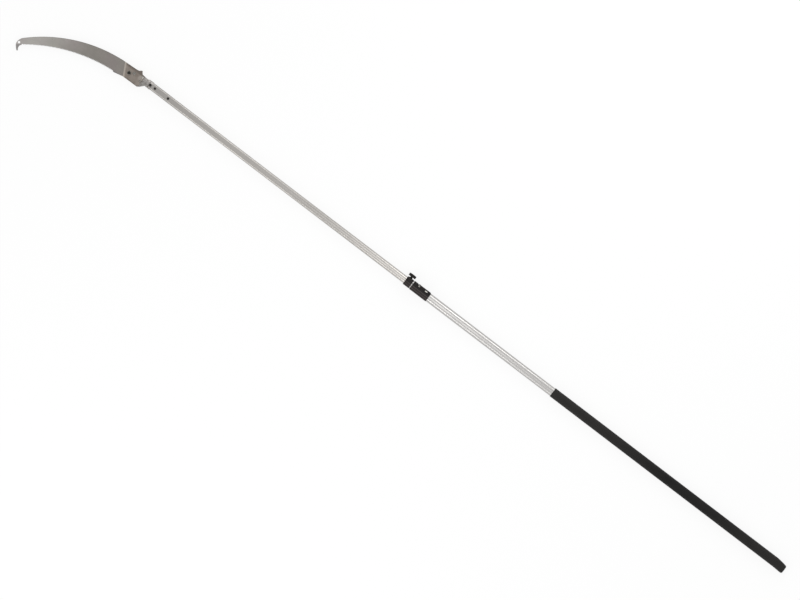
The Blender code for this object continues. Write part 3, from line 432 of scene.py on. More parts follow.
def nylon(name, dark, light, roughness):
    """Glass-filled nylon with a spark-textured skin, scuffed on its edges."""
    skin = Skin(name, 0.0, 0.2)
    grain, cloud = skin.grain(1900.0, detail=2.0), skin.grain(120.0)
    scuff_and_highlight = [min(1.0, part * 2.6 + 0.03) for part in light]
    _, side, up = split(skin.place)
    # Painted shade on the knob's half and painted light on the half towards the teeth
    skin.colour = blend(cloud, dark, light)
    skin.shade(remap(side, POLE.y - 0.003, POLE.y + 0.002, 0.45, 1.25))
    skin.wear(0.75, scuff_and_highlight, width=0.0008)
    # The tops of the ribs are painted pale: rubbed where the block lies against things, and painted
    # highlights
    high = remap(abs(up - POLE.z), BLOCK_FACE - 0.0012, BLOCK_FACE - 0.0006)
    for rib in RIB_PLACES:
        top = remap(abs(side - (POLE.y + rib)), RIB_WIDTH * 0.62, RIB_WIDTH * 0.40)
        skin.cover(top * between(cloud, 0.35, 0.95) * high, scuff_and_highlight)
    skin.soil(0.4, (0.045, 0.042, 0.038), reach=0.003)
    return skin.end(between(grain, roughness - 0.07, roughness + 0.09), grain, 0.00004)


def blade_metal(name):
    """Spring steel: satin along its length, with a ground band behind the teeth and a tarnish."""
    skin = Skin(name)
    cloud, hue = skin.grain(30.0, detail=5.0), skin.grain(9.0, detail=2.0)
    radius = distance(skin.place, TEETH_CENTRE)
    band = remap(radius, TEETH_RADIUS + 0.0095, TEETH_RADIUS + 0.0085)
    teeth = remap(radius, TEETH_RADIUS + 0.0030, TEETH_RADIUS - 0.0015)
    # Painted shade along the blade's back edge
    radius = distance(skin.place, BACK_CENTRE)
    back = remap(radius, BACK_RADIUS - 0.0035, BACK_RADIUS - 0.0008, 1.0, 0.80)
    grain = blend(band, skin.grain(25.0, 1500.0), skin.grain(1900.0, 160.0, 2.0), "FLOAT")
    # Painted light: the blade is lighter towards its tip
    outwards = remap(split(skin.place)[0], POLE.x + 3.45, POLE.x + 3.63)
    skin.colour = blend(outwards, (0.238, 0.222, 0.211), (0.393, 0.376, 0.367))
    tarnish = blend(hue, (0.97, 1.0, 0.94), (1.0, 0.955, 0.965))
    skin.colour = blend(1.0, skin.colour, tarnish, blend_type="MULTIPLY")
    skin.shade(between(grain, 0.90, 1.08) * between(cloud, 0.94, 1.05) * back)
    skin.cover(teeth * 0.55, (0.16, 0.155, 0.16))
    skin.wear(0.5, (0.55, 0.54, 0.52), width=0.0004)
    return skin.end(between(cloud, 0.26, 0.42), grain, 0.000012)


def holder_metal(name):
    """Pressed steel with a dull warm plating, worn bright on its edges, with painted light and
    shade.
    """
    skin = Skin(name)
    cloud = skin.grain(55.0, detail=5.0)
    skin.colour = blend(cloud, (0.195, 0.166, 0.145), (0.285, 0.252, 0.222))
    skin.shade(between(skin.grain(30.0, 900.0), 0.93, 1.05))
    # Painted highlight along the slanted front edge, painted shade along the two long edges
    along, across, _ = split(skin.place)
    corner, inwards = HOLDER_CORNER + POLE.xy, HOLDER_INWARDS
    depth = (along - corner.x) * inwards.x + (across - corner.y) * inwards.y
    front = remap(depth, 0.0085, 0.0035)
    back = remap(across, POLE.y - 0.0050, POLE.y - 0.0110)
    heel = remap(across, POLE.y + 0.0325, POLE.y + 0.0365)
    long_edge_shade = calc("SUBTRACT", calc("MAXIMUM", back, heel), front, clamp=True)
    # Paler in patches round the neck
    neck = remap(distance(skin.place, PALE_NECK_PLACE), 0.013, 0.006)
    skin.cover(long_edge_shade * 0.7, (0.115, 0.098, 0.086))
    skin.cover(front * 0.7, (0.44, 0.40, 0.355))
    skin.cover(neck * between(cloud, 0.40, 0.70), (0.36, 0.33, 0.30))
    skin.wear(0.75, (0.52, 0.49, 0.45), width=0.0012, breakup=500.0)
    # Painted shade in the corners and beside the bolts
    skin.soil(0.8, (0.045, 0.038, 0.030), reach=0.006)
    return skin.end(between(cloud, 0.32, 0.48), cloud, 0.00003)


def cast_metal(name):
    """Tumbled aluminium casting: a fine pebbled skin, bright on its ribs, painted shade in its
    pockets.
    """
    skin = Skin(name)
    pebble, cloud = skin.grain(1100.0), skin.grain(130.0)
    along, across, _ = split(skin.place)
    skin.colour = blend(cloud, (0.25, 0.235, 0.225), (0.36, 0.345, 0.330))
    # Painted light and shade: the neck is lighter on the knob's side and darker towards the teeth
    skin.shade(remap(across, POLE.y - 0.008, POLE.y + 0.006, 1.36, 0.86))
    skin.wear(0.7, (0.72, 0.70, 0.68), width=0.0008)
    # The ferrule's rolled groove is painted darker
    centre, half = POLE.x + (GROOVE_START + GROOVE_END) / 2, (GROOVE_END - GROOVE_START) / 2
    filled = remap(abs(along - centre), half, half - 0.0009) * 0.75
    # Painted shade in the corners
    corner_shade_and_dark_groove = skin.effect(DIRT_AND_SHADE, reach=0.005)
    corner_shade_and_dark_groove = calc("MAXIMUM", corner_shade_and_dark_groove, filled * remap(cloud, 0.0, 0.5))
    skin.cover(corner_shade_and_dark_groove * 0.8, (0.07, 0.06, 0.05))
    return skin.end(between(pebble, 0.34, 0.52), pebble, 0.00005)


def plated_steel(name, dark, light):
    """Zinc plating with its faint cloudy passivation."""
    skin = Skin(name)
    spots = skin.grain(1500.0, detail=2.0)
    skin.colour = blend(skin.grain(240.0, detail=4.0), dark, light)
    # Painted shade in the corners
    skin.soil(0.6, (0.10, 0.09, 0.07), reach=0.002)
    return skin.end(between(spots, 0.24, 0.40), spots, 0.00001)


def blacked_steel(name):
    """Black oxide, worn to grey metal on the corners of heads and sockets."""
    skin = Skin(name, 0.7)
    cloud = skin.grain(600.0)
    skin.colour = blend(cloud, (0.012, 0.011, 0.010), (0.030, 0.027, 0.024))
    skin.wear(0.5, (0.20, 0.19, 0.175), width=0.0004)
    return skin.end(between(cloud, 0.38, 0.55), cloud, 0.00001)


FINISHES = {name: make(name, *values) for name, make, *values in (
    ("tube_aluminium", brushed_metal, (0.405, 0.395, 0.385), (0.485, 0.475, 0.465), 0.15),
    (
        "upper_aluminium", brushed_metal, (0.350, 0.335, 0.318), (0.430, 0.413, 0.393), 0.5,
        # Painted light near the clamp, painted shade towards the head
        [(1.92, 2.32, 1.18, 1.0), (2.80, 3.13, 1.0, 0.84)],
    ),
    ("grip_rubber", rubber),
    ("black_nylon", nylon, (0.0115, 0.0085, 0.0080), (0.022, 0.0163, 0.0155), 0.46),
    ("grey_nylon", nylon, (0.24, 0.24, 0.23), (0.32, 0.32, 0.31), 0.50),
    ("blade_steel", blade_metal),
    ("holder_steel", holder_metal),
    ("cast_aluminium", cast_metal),
    ("zinc_steel", plated_steel, (0.34, 0.34, 0.32), (0.46, 0.44, 0.40)),
    ("dull_steel", plated_steel, (0.17, 0.165, 0.155), (0.25, 0.24, 0.22)),
    ("black_steel", blacked_steel),
)}
SLOTS = {part["node"]: part["material_slot"] for part in frame["record"]["subparts"]}

# Plated pieces that have lost their shine
DULLED = ("lever_pin_near", "lever_pin_far", "blade_screw", "neck_rivet_front")


def finish_of(node):
    return FINISHES["dull_steel" if node in DULLED else SLOTS[node]]


# Trees of geometry nodes for what repeats or follows a rule


def new_tree(name, **inputs):
    """Start a tree of geometry nodes, with a named input for each size and for the material."""
    inputs = {"points": "NodeSocketGeometry", **inputs, "material": "NodeSocketMaterial"}
    return new_group(name, "GeometryNodeTree", "mesh", "NodeSocketGeometry", **inputs)


def end_tree(given, mesh):
    real = add("GeometryNodeRealizeInstances", mesh)
    return end_group(add("GeometryNodeSetMaterial", real, Material=given.material))


def each_place():
    """The position of each point, whole and split into its three parts."""
    place = add("GeometryNodeInputPosition")
    return place, *split(place)


def moved(mesh, **change):
    return add("GeometryNodeTransform", mesh, **change)


def reshaped(mesh, **change):
    return add("GeometryNodeSetPosition", mesh, **change)


def boolean(operation, first, second):
    """Cut the second mesh from the first, unite them, or keep what they share."""
    made = wire("GeometryNodeMeshBoolean", operation=operation, solver="EXACT")
    feed(made.inputs["Mesh 1" if operation == "DIFFERENCE" else "Mesh 2"], first)
    feed(made.inputs["Mesh 2"], second)
    return Value(made.outputs["Mesh"])


def instances(points, mesh, **change):
    return add("GeometryNodeInstanceOnPoints", Points=points, Instance=mesh, **change)


def on_points(given, mesh):
    """Stand a mesh on each of the given points, turned as the tree's turn input says."""
    turn = add("FunctionNodeEulerToRotation", given.turn)
    return end_tree(given, instances(given.points, mesh, Rotation=turn))


def cylinder(sides, width, height, **segments):
    radius = width * 0.5
    return add("GeometryNodeMeshCylinder", Vertices=sides, Radius=radius, Depth=height, **segments)


def oval_tube_tree():
    """Oval tube: the outline of its wall, its corners rounded, goes once round the oval."""
    given = new_tree(
        "oval_tube", start=0.0, end=1.0, width=0.036, height=0.031, wall=0.0014,
        edge=0.0003, sides=FINE, flutes=0, flute_depth=0.0,
    )
    ring = add("GeometryNodeCurvePrimitiveCircle", Resolution=given.sides, Radius=0.5)
    ring = moved(ring, Scale=vector(given.width, given.height, 1.0))
    length = given.end - given.start
    wall = add("GeometryNodeCurvePrimitiveQuadrilateral", Width=given.wall, Height=length)
    wall = add("GeometryNodeFilletCurve", wall, Radius=given.edge, Count=4, mode="POLY")
    wall = moved(wall, Translation=vector(given.wall * -0.5))
    tube = add("GeometryNodeCurveToMesh", Curve=ring, Profile_Curve=wall)
    centre = vector((given.start + given.end) * 0.5)
    tube = moved(tube, Translation=centre, Rotation=(math.pi / 2, 0, math.pi / 2))
    # Flutes sink the outer skin alone, whose points lie at half the oval's width and height
    place, _, y, z = each_place()
    across, up = y / given.width, z / given.height
    skin = vectors("LENGTH", vector(0.0, across, up)) > OUTER_SKIN
    wave = calc("COSINE", calc("ARCTAN2", up, across) * given.flutes)
    depth = (wave - 1.0) * given.flute_depth
    outwards = vectors("NORMALIZE", vectors("MULTIPLY", place, (0, 1, 1)))
    return end_tree(given, reshaped(tube, Offset=scaled(outwards, depth * skin)))


def disc(width, height, crown, both=False):
    """A disc standing on Z = 0, whose top falls by crown towards its rim, or both its faces do."""
    mesh = cylinder(ROUND, width, height, Side_Segments=1, Fill_Segments=6)
    place, _, _, z = each_place()
    share = (distance(place) / (width * 0.5)) ** 3.0
    side = calc("SIGN" if both else "GREATER_THAN", z, 0.0)
    return reshaped(mesh, Offset=vector(0.0, 0.0, height * 0.5 - share * side * crown))


def post(sides, width, low, high):
    """A plain cylinder or prism about Z between two heights."""
    height = vector(0.0, 0.0, (high + low) * 0.5)
    return moved(cylinder(sides, width, high - low), Translation=height)


def socket_screw_tree():
    """Round-headed screws with a hexagon socket, each standing on its seat."""
    given = new_tree(
        "socket_screws", width=0.01, height=0.003, crown=0.001, socket=0.004,
        shank=0.005, length=0.01, turn=UPRIGHT,
    )
    height = given.height
    head = disc(given.width, height, given.crown)
    head = boolean("DIFFERENCE", head, post(6, given.socket, height * 0.5, height * 2.0))
    shank = post(SHANK_SIDES, given.shank, given.length * -1.0, height * 0.25)
    return on_points(given, boolean("UNION", head, shank))


def hexagon_tree(name, bored):
    """Hexagon nuts or bolt heads with turned chamfers, on a bore or on a shank."""
    given = new_tree(
        name, width=0.015, height=0.005, crown=0.0006, shank=0.006, length=0.01, turn=UPRIGHT
    )
    prism = post(6, given.width, 0.0, given.height)
    barrel = disc(given.width * 1.001, given.height, given.crown, both=True)
    body = boolean("INTERSECT", prism, barrel)
    top = given.height * (2.0 if bored else 0.5)
    shank = post(SHANK_SIDES, given.shank, given.length * -1.0, top)
    return on_points(given, boolean("DIFFERENCE" if bored else "UNION", body, shank))


def saw_teeth_tree():
    """Teeth that point to the middle of an arc, ground and bent by turns to the two sides."""
    given = new_tree(
        "saw_teeth", count=60, first=0.0, step=0.01, radius=0.6, pitch=0.005, depth=0.004,
        root=0.001, lean=0.2, grind=0.3, bend=0.05, thickness=0.0016, centre=UPRIGHT,
    )
    tooth = add("GeometryNodeMeshCube", Size=(1, 1, 1))
    _, x, y, z = each_place()
    rise, ground = y + 0.5, (z + 0.5) * given.grind
    taper = calc("MULTIPLY_ADD", rise, TOOTH_TAPER, 1.0)
    full = given.depth + given.root
    # Wider than the pitch at its foot, which is inside the blade, so that the roots meet
    along = x * (taper * (1.0 - ground)) * (full / given.depth)
    along = calc("MULTIPLY_ADD", rise, given.lean, along) * given.pitch
    height = rise * (1.0 - ground * TOOTH_CUT_BACK) * full - given.root
    side = z * given.thickness - rise * given.bend * given.depth
    left = reshaped(tooth, Position=vector(along, height, side))
    right = add("GeometryNodeFlipFaces", moved(left, Scale=(1, 1, -1)))
    hands = wire("GeometryNodeJoinGeometry")
    for hand in (left, right):
        feed(hands.inputs[0], add("GeometryNodeGeometryToInstance", hand))
    number = add("GeometryNodeInputIndex")
    angle = given.first - (number + 0.5) * given.step
    out = vector(calc("SINE", angle), calc("COSINE", angle) * -1.0)
    place = vectors("ADD", scaled(out, given.radius), given.centre)
    row = add("GeometryNodePoints", Count=given.count, Position=place)
    turn = add("FunctionNodeEulerToRotation", vector(0.0, 0.0, angle))
    return end_tree(given, instances(
        row, Value(hands.outputs[0]), Pick_Instance=True, Rotation=turn,
        Instance_Index=calc("MODULO", number, 2.0),
    ))


def knob_tree():
    """Hand knob about Z: lobed at its rim, rounded at both edges and crowned on top."""
    given = new_tree(
        "lobed_knob", lobes=KNOB_LOBES, width=0.032, height=0.012, crown=0.001,
        lobe_depth=0.001, turn=UPRIGHT,
    )
    sides = given.lobes * LOBE_POINTS
    knob = cylinder(sides, given.width, given.height, Side_Segments=14, Fill_Segments=8)
    place, x, y, z = each_place()
    radius = given.width * 0.5
    share, rise = distance(place) / radius, z / (given.height * 0.5)
    wave = calc("COSINE", calc("ARCTAN2", y, x) * given.lobes)
    dip = (wave - 1.0) * given.lobe_depth * 0.5 / radius
    scale = (dip - abs(rise) ** 10.0 * KNOB_ROUNDING) * share ** 3.0 + 1.0
    fall = share * share * given.crown * (rise > 0.0) * rise
    height = calc("MULTIPLY_ADD", given.height, 0.5, z - fall)
    return on_points(given, reshaped(knob, Position=vector(x * scale, y * scale, height)))


def ridge_tree():
    """Low round-backed ridges across the lever, side by side, for the thumb."""
    given = new_tree("thumb_ridges", width=0.0012, length=0.028)
    return end_tree(given, instances(given.points, cylinder(20, given.width, given.length)))


OVAL_TUBE, SOCKET_SCREWS, SAW_TEETH = oval_tube_tree(), socket_screw_tree(), saw_teeth_tree()
HEX_NUTS, HEX_BOLTS = hexagon_tree("hexagon_nuts", True), hexagon_tree("hexagon_bolts", False)
LOBED_KNOB, THUMB_RIDGES = knob_tree(), ridge_tree()


# Making and finishing pieces


def new_piece(name, data):
    piece = bpy.data.objects.new(name, data)
    bpy.context.scene.collection.objects.link(piece)
    return piece


def built(name, geometry):
    """A new piece from a bmesh, which is done away with."""
    mesh = bpy.data.meshes.new(name)
    geometry.to_mesh(mesh)
    geometry.free()
    return new_piece(name, mesh)


def settled(piece):
    """Make a piece's modifiers, or its curve, a plain mesh."""
    graph = bpy.context.evaluated_depsgraph_get()
    mesh = bpy.data.meshes.new_from_object(piece.evaluated_get(graph), depsgraph=graph)
    name = piece.name
    bpy.data.objects.remove(piece)
    return new_piece(name, mesh)


def modified(piece, kind, **settings):
    """A piece with one modifier made plain."""
    modifier = piece.modifiers.new("change", kind)
    for name, value in settings.items():
        setattr(modifier, name, value)
    return settled(piece)


def grow(node, tree, points=((0, 0, 0),), **sizes):
    """The plain mesh that a tree of geometry nodes makes for a node from points and sizes."""
    mesh = bpy.data.meshes.new(node)
    mesh.from_pydata(points, [], [])
    piece = new_piece(f"{node}_look", mesh)
    modifier = piece.modifiers.new(node, "NODES")
    modifier.node_group = tree
    sizes["material"] = finish_of(node)
    for item in tree.interface.items_tree:
        if item.in_out == "INPUT" and item.name in sizes:
            modifier[item.identifier] = sizes[item.name]
    return settled(piece)


def tidy(piece):
    """Merge the points of a piece that are one."""
    geometry = bmesh.new()
    geometry.from_mesh(piece.data)
    bmesh.ops.remove_doubles(geometry, verts=geometry.verts, dist=MERGE)
    geometry.to_mesh(piece.data)
    geometry.free()
    return piece


def drawn(curve, dimensions, points, closed):
    """Add a line through points of (x, y, z) to a curve."""
    curve.dimensions = dimensions
    spline = curve.splines.new("POLY")
    spline.points.add(len(points) - 1)
    for point, place in zip(spline.points, points):
        point.co = (*place, 1)
    spline.use_cyclic_u = closed


def plate(name, rings, low, high, edge):
    """A flat piece between two heights, its rim rounded: one outline, and holes in it."""
    curve = bpy.data.curves.new(name, "CURVE")
    for ring in rings:
        drawn(curve, "2D", [(x, y, 0) for x, y in ring], True)
    curve.fill_mode = "BOTH"
    curve.extrude = (high - low) / 2 - edge
    curve.bevel_depth = edge
    curve.offset = -edge
    curve.bevel_resolution = 3
    piece = tidy(settled(new_piece(name, curve)))
    piece.data.transform(Matrix.Translation((0, 0, (low + high) / 2)))
    return piece


def moulding(name, ring, start, end, edge=MOULD_EDGE):
    """A section of (y, z) points drawn out along the pole, its ends rounded."""
    piece = plate(name, [ring], start, end, edge)
    piece.data.transform(Matrix(((0, 0, 1, 0), (1, 0, 0, 0), (0, 1, 0, 0), (0, 0, 0, 1))))
    return piece


def block(name, low, high):
    """A plain box between two corners."""
    geometry = bmesh.new()
    bmesh.ops.create_cube(geometry, size=1)
    low, high = Vector(low), Vector(high)
    bmesh.ops.scale(geometry, verts=geometry.verts, vec=high - low)
    bmesh.ops.translate(geometry, verts=geometry.verts, vec=(low + high) / 2)
    return built(name, geometry)


def turned(name, profile, steps=ROUND):
    """Turn a closed or pole-to-pole profile of (radius, height) points about Z."""
    geometry = bmesh.new()
    points = [geometry.verts.new((radius, 0, height)) for radius, height in profile]
    edges = [geometry.edges.new(pair) for pair in zip(points, points[1:])]
    bmesh.ops.spin(
        geometry, geom=points + edges, axis=(0, 0, 1), cent=(0, 0, 0),
        angle=2 * math.pi, steps=steps, use_merge=False,
    )
    bmesh.ops.remove_doubles(geometry, verts=geometry.verts, dist=MERGE)
    bmesh.ops.recalc_face_normals(geometry, faces=geometry.faces)
    return built(name, geometry)


def put(piece, place, turn=UPRIGHT):
    """Turn a piece about X, Y and Z and move it to a place."""
    matrix = Matrix.Translation(place)
    for angle, axis in zip(turn, "XYZ"):
        matrix = matrix @ Matrix.Rotation(angle, 4, axis)
    piece.data.transform(matrix)
    return piece


def carve(piece, operation, *tools, crossing=False):
    """Cut tools from a piece, or unite them with it, and do away with them."""
    for tool in tools:
        piece = tidy(modified(
            piece, "BOOLEAN", operation=operation, solver="EXACT", use_self=crossing, object=tool
        ))
        bpy.data.objects.remove(tool)
    return piece


def refined(node, edge, angle=30):
    """A merged copy of a node's mesh in the pole frame, its flats made whole and edges rounded."""
    geometry = bmesh.new()
    geometry.from_mesh(frame["nodes"][node].data)
    bmesh.ops.remove_doubles(geometry, verts=geometry.verts, dist=MERGE)
    bmesh.ops.dissolve_limit(
        geometry, angle_limit=math.radians(0.5), verts=geometry.verts, edges=geometry.edges
    )
    bmesh.ops.translate(geometry, verts=geometry.verts, vec=-POLE)
    return modified(
        built(f"{node}_look", geometry), "BEVEL", width=edge, segments=3,
        limit_method="ANGLE", angle_limit=math.radians(angle),
    )


def painted(piece, node, sharp=35):
    """Give a piece the finish of its node, smooth its normals and move it to its place."""
    piece.data.materials.clear()
    piece.data.materials.append(finish_of(node))
    piece.data.shade_smooth()
    piece.data.set_sharp_from_angle(angle=math.radians(sharp))
    piece = modified(piece, "WEIGHTED_NORMAL", keep_sharp=True)
    piece.data.transform(Matrix.Translation(POLE))
    return piece


def finish(piece, *nodes, sharp=35):
    """Paint a piece and give it the body and the stead of its nodes."""
    piece = painted(piece, nodes[0], sharp)
    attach(piece, frame["nodes"][nodes[0]]["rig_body"])
    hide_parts(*nodes)
    return piece


def turned_piece(node, profile, turn=UPRIGHT):
    """Finish a node's piece, turned from a profile, at the node's own place."""
    piece = turned(f"{node}_look", profile)
    finish(put(piece, level(node), turn), node)


# Outlines


def arc(centre, radius, start, end, count):
    """Points of an arc, with angles in degrees from +X towards +Y."""
    points = []
    for step in range(count + 1):
        angle = math.radians(start + (end - start) * step / count)
        points.append((centre[0] + radius * math.cos(angle), centre[1] + radius * math.sin(angle)))
    return points


def circle(centre, diameter):
    return arc(centre, diameter / 2, 0, 360, ROUND)[:-1]


def oval(width, height, shift=0.0):
    """Points of an oval whose middle is shifted along its width."""
    points = arc((0, 0), 0.5, 0, 360, FINE)[:-1]
    return [(shift + width * x, height * y) for x, y in points]


def rounded_box(width, height, corner):
    points = []
    for start, side, top in ((0, 1, 1), (90, -1, 1), (180, -1, -1), (270, 1, -1)):
        centre = (side * (width / 2 - corner), top * (height / 2 - corner))
        points += arc(centre, corner, start, start + 90, 10)
    return points


def smooth_between(rows, steps):
    """Rows of numbers filled in with smooth curves between them, the first and last kept."""
    filled = []
    for four in zip(rows[:1] + rows, rows, rows[1:], rows[2:] + rows[-1:]):
        for share in (step / steps for step in range(steps)):
            filled.append([
                b + (c - a) * share / 2 + (a - 2.5 * b + 2 * c - d / 2) * share**2
                + (1.5 * (b - c) + (d - a) / 2) * share**3 for a, b, c, d in zip(*four)
            ])
    return filled + [list(rows[-1])]


# Tubes and holes, and the section of the room that a block leaves for the handle tube

TUBE_ROOM = oval(TUBE_SIZE.y + 2 * GAP, TUBE_SIZE.z + 2 * GAP)


def oval_size(node):
    low, high = span(node)
    return {"start": low.x, "end": high.x, "width": 2 * high.y, "height": 2 * high.z}


def oval_piece(node, wall, edge, **more):
    return grow(node, OVAL_TUBE, wall=wall, edge=edge, **oval_size(node), **more)


def bore(diameter, place, low, high, turn=UPRIGHT):
    """A cutter about local Z, between two heights, stood at a place and turned."""
    profile = [(0, low), (diameter / 2, low), (diameter / 2, high), (0, high)]
    return put(turned("bore", profile, SHANK_SIDES), place, turn)


def gland_hole():
    """A cutter for the lock pin's gland."""
    return bore(GLAND_DIAMETER + 2 * GAP, PIN, INSIDE, OUTSIDE, INTO_EDGE)


def through_hole(node):
    """A cutter for a screw or rivet that goes right through the upper pole."""
    return bore(SCREW_HOLE, level(node), -OUTSIDE, OUTSIDE)


# Small screws that hold the blocks to the tube: how each is turned and the height of its head
SMALL_SCREWS = {
    "clamp_screw_rear": (OVER, 0.0023), "clamp_screw_front": (OVER, 0.0023),
    "collar_screw_near": (UPRIGHT, 0.0021), "collar_screw_far": (OVER, 0.0021),
}


def shank_hole(node, high=OUTSIDE):
    """A cutter for a small screw's shank, from inside the tube outwards."""
    return bore(SMALL_SHANK + 3 * GAP, level(node), INSIDE, high, SMALL_SCREWS[node][0])


def screw_seats(owner):
    """Cutters for the heads and the shanks of a block's small screws."""
    tools = []
    for node, (turn, head) in SMALL_SCREWS.items():
        if node.startswith(owner):
            low, high = span(node)
            width, top = high.x - low.x + 2 * GAP, max(high.z, -low.z)
            tools.append(bore(width, level(node), top - head - GAP, 2 * top, turn))
            tools.append(shank_hole(node, top))
    return tools


# Handle pole


def handle_tube():
    """Handle tube with a window for the brake shoe and holes for the gland and the screws."""
    low, high = span("brake_shoe")
    window = block(
        "shoe_window", low - Vector((SHOE_CLEARANCE, TUBE_SIZE.y, GAP)),
        high + Vector((SHOE_CLEARANCE, GAP, GAP)),
    )
    tube = oval_piece("outer_tube", TUBE_WALL, TUBE_EDGE)
    holes = [shank_hole(node) for node in SMALL_SCREWS]
    finish(carve(tube, "DIFFERENCE", window, gland_hole(), *holes), "outer_tube")


def grip():
    """Fluted rubber sleeve that fits over the handle tube."""
    wall = span("grip_sleeve")[1].z - TUBE_SIZE.z / 2 - GAP
    sleeve = oval_piece(
        "grip_sleeve", wall, SLEEVE_EDGE, sides=GRIP_FLUTES * FLUTE_POINTS,
        flutes=GRIP_FLUTES, flute_depth=GRIP_FLUTE_DEPTH / 2,
    )
    finish(sleeve, "grip_sleeve")


def butt():
    """Rubber end, turned a little to the toothed side, on a hollow plug in the tube."""
    start, end = span("grip_sleeve")[0].x - GAP, span("butt_cap")[1].x
    # Each row gives a place along the pole, the edges on the two sides and the height
    rows = (
        (0.0014, -0.0040, 0.0116, 0.0130),
        (0.0002, -0.0075, 0.0152, 0.0190),
        (0.0004, -0.0108, 0.0184, 0.0256),
        (0.0022, -0.0131, 0.0205, 0.0298),
        (0.0060, -0.0145, 0.0214, 0.0320),
        (0.0160, -0.0163, 0.0213, 0.0330),
        (0.0300, -0.0182, 0.0206, 0.0340),
        (start - 0.0010, -0.0198, 0.0199, 0.0345),
        (start, -0.0195, 0.0196, 0.0339),
    )
    geometry = bmesh.new()
    rings = []
    for place, knob_side, tooth_side, height in smooth_between(rows, 5):
        outline = oval(tooth_side - knob_side, height, (tooth_side + knob_side) / 2)
        rings.append([geometry.verts.new((place, y, z)) for y, z in outline])
    for near, far in zip(rings, rings[1:]):
        for index in range(FINE):
            following = (index + 1) % FINE
            geometry.faces.new((near[index], near[following], far[following], far[index]))
    for ring in (rings[0], rings[-1]):
        geometry.faces.new(ring)
    bmesh.ops.recalc_face_normals(geometry, faces=geometry.faces)
    cap = built("butt_look", geometry)
    play = 2 * (TUBE_WALL + GAP)
    hollow_play = play + 2 * PLUG_WALL
    outside = oval(TUBE_SIZE.y - play, TUBE_SIZE.z - play)
    inside = oval(TUBE_SIZE.y - hollow_play, TUBE_SIZE.z - hollow_play)
    plug = moulding("plug", outside, start / 2, end, PLUG_EDGE)
    hollow = moulding("hollow", inside, PLUG_START, end + start, 0)
    finish(carve(carve(cap, "UNION", plug), "DIFFERENCE", hollow), "butt_cap")


def beside_ribs(start, end, face):
    """Cutters for the fine grooves that leave the ribs standing, on both flat faces of a block."""
    cutters = []
    half, foot = RIB_WIDTH * 0.3, face - RIB_HEIGHT
    for rib in RIB_PLACES:
        for y in (rib - RIB_WIDTH * 0.8, rib + RIB_WIDTH * 0.8):
            for low, high in ((foot, face + GAP), (-face - GAP, -foot)):
                cutters.append(block("groove", (start, y - half, low), (end, y + half, high)))
    return cutters


def clamp_block():
    """Clamp block round the tube, with a pocket for the lever and holes for what it holds."""
    low, high = span("clamp_body")
    size = high.z - low.z
    body = moulding("clamp_look", rounded_box(size, size, CLAMP_CORNER), low.x, high.x)
    channel = moulding("channel", TUBE_ROOM, low.x - size, high.x + size, 0)
    straddle = [
        (-size, -size), (POCKET_SIDE, -size), (POCKET_SIDE, -POCKET_FLOOR),
        (POCKET_EDGE, -POCKET_FLOOR), (POCKET_EDGE, POCKET_FLOOR), (POCKET_SIDE, POCKET_FLOOR),
        (POCKET_SIDE, size), (-size, size),
    ]
    pocket = moulding("pocket", straddle, low.x - size, POCKET_END, 0)
    grooves = beside_ribs(low.x - GAP, high.x + GAP, size / 2)
    pivot = bore(LEVER_PIN_HOLE, level("lever_pin_near"), -size, size)
    seats = screw_seats("clamp")
    stud_low, stud_high = span("catch_stud_near")
    across, foot = Vector((GAP, GAP, 0)), Vector((0, 0, stud_low.z + stud_high.z))
    catch = block("catch_hole", stud_low - across - foot, stud_high + across)
    tools = [channel, pocket, *grooves, pivot, *seats, catch]
    finish(carve(body, "DIFFERENCE", *tools), "clamp_body")


def lever():
    """Clamp lever with ridges for the thumb."""
    shell = refined("clamp_lever", 0.0005)
    first = span("clamp_lever")[0].x + 2 * RIDGE_STEP
    points = [(first + number * RIDGE_STEP, LEVER_BACK, 0) for number in range(LEVER_RIDGES)]
    ridges = grow("clamp_lever", THUMB_RIDGES, points, width=RIDGE_WIDTH, length=RIDGE_LENGTH)
    finish(carve(shell, "UNION", ridges), "clamp_lever")


def stub_pins():
    """Stubs that the lever turns on, their heads a gap clear of its skirts."""
    seat, shank = span("clamp_lever")[1].z + GAP, LEVER_PIN_SHANK / 2
    for node, turn in (("lever_pin_near", UPRIGHT), ("lever_pin_far", OVER)):
        low, high = span(node)
        width, foot, top = high.x - low.x, *sorted((abs(low.z), abs(high.z)))
        turned_piece(node, [
            (0, top - 0.0004), (0.0010, top - 0.0004), (0.0014, top), (width * 0.40, top),
            (width * 0.47, top - 0.0002), (width * 0.50, top - 0.0006), (width * 0.50, seat),
            (shank, seat), (shank, foot), (0, foot),
        ], turn)


def boss(width, top, one_sided=False):
    """Round boss with a softened rim, from the pole's middle outwards or right through."""
    half = width / 2
    rim = [(0, top), (half - 0.0006, top), (half - 0.0002, top - 0.0002), (half, top - 0.0006)]
    foot = [(radius, -height) for radius, height in reversed(rim)]
    if one_sided:
        foot = [(half, BOSS_FOOT), (0, BOSS_FOOT)]
    return turned("boss", rim + foot)


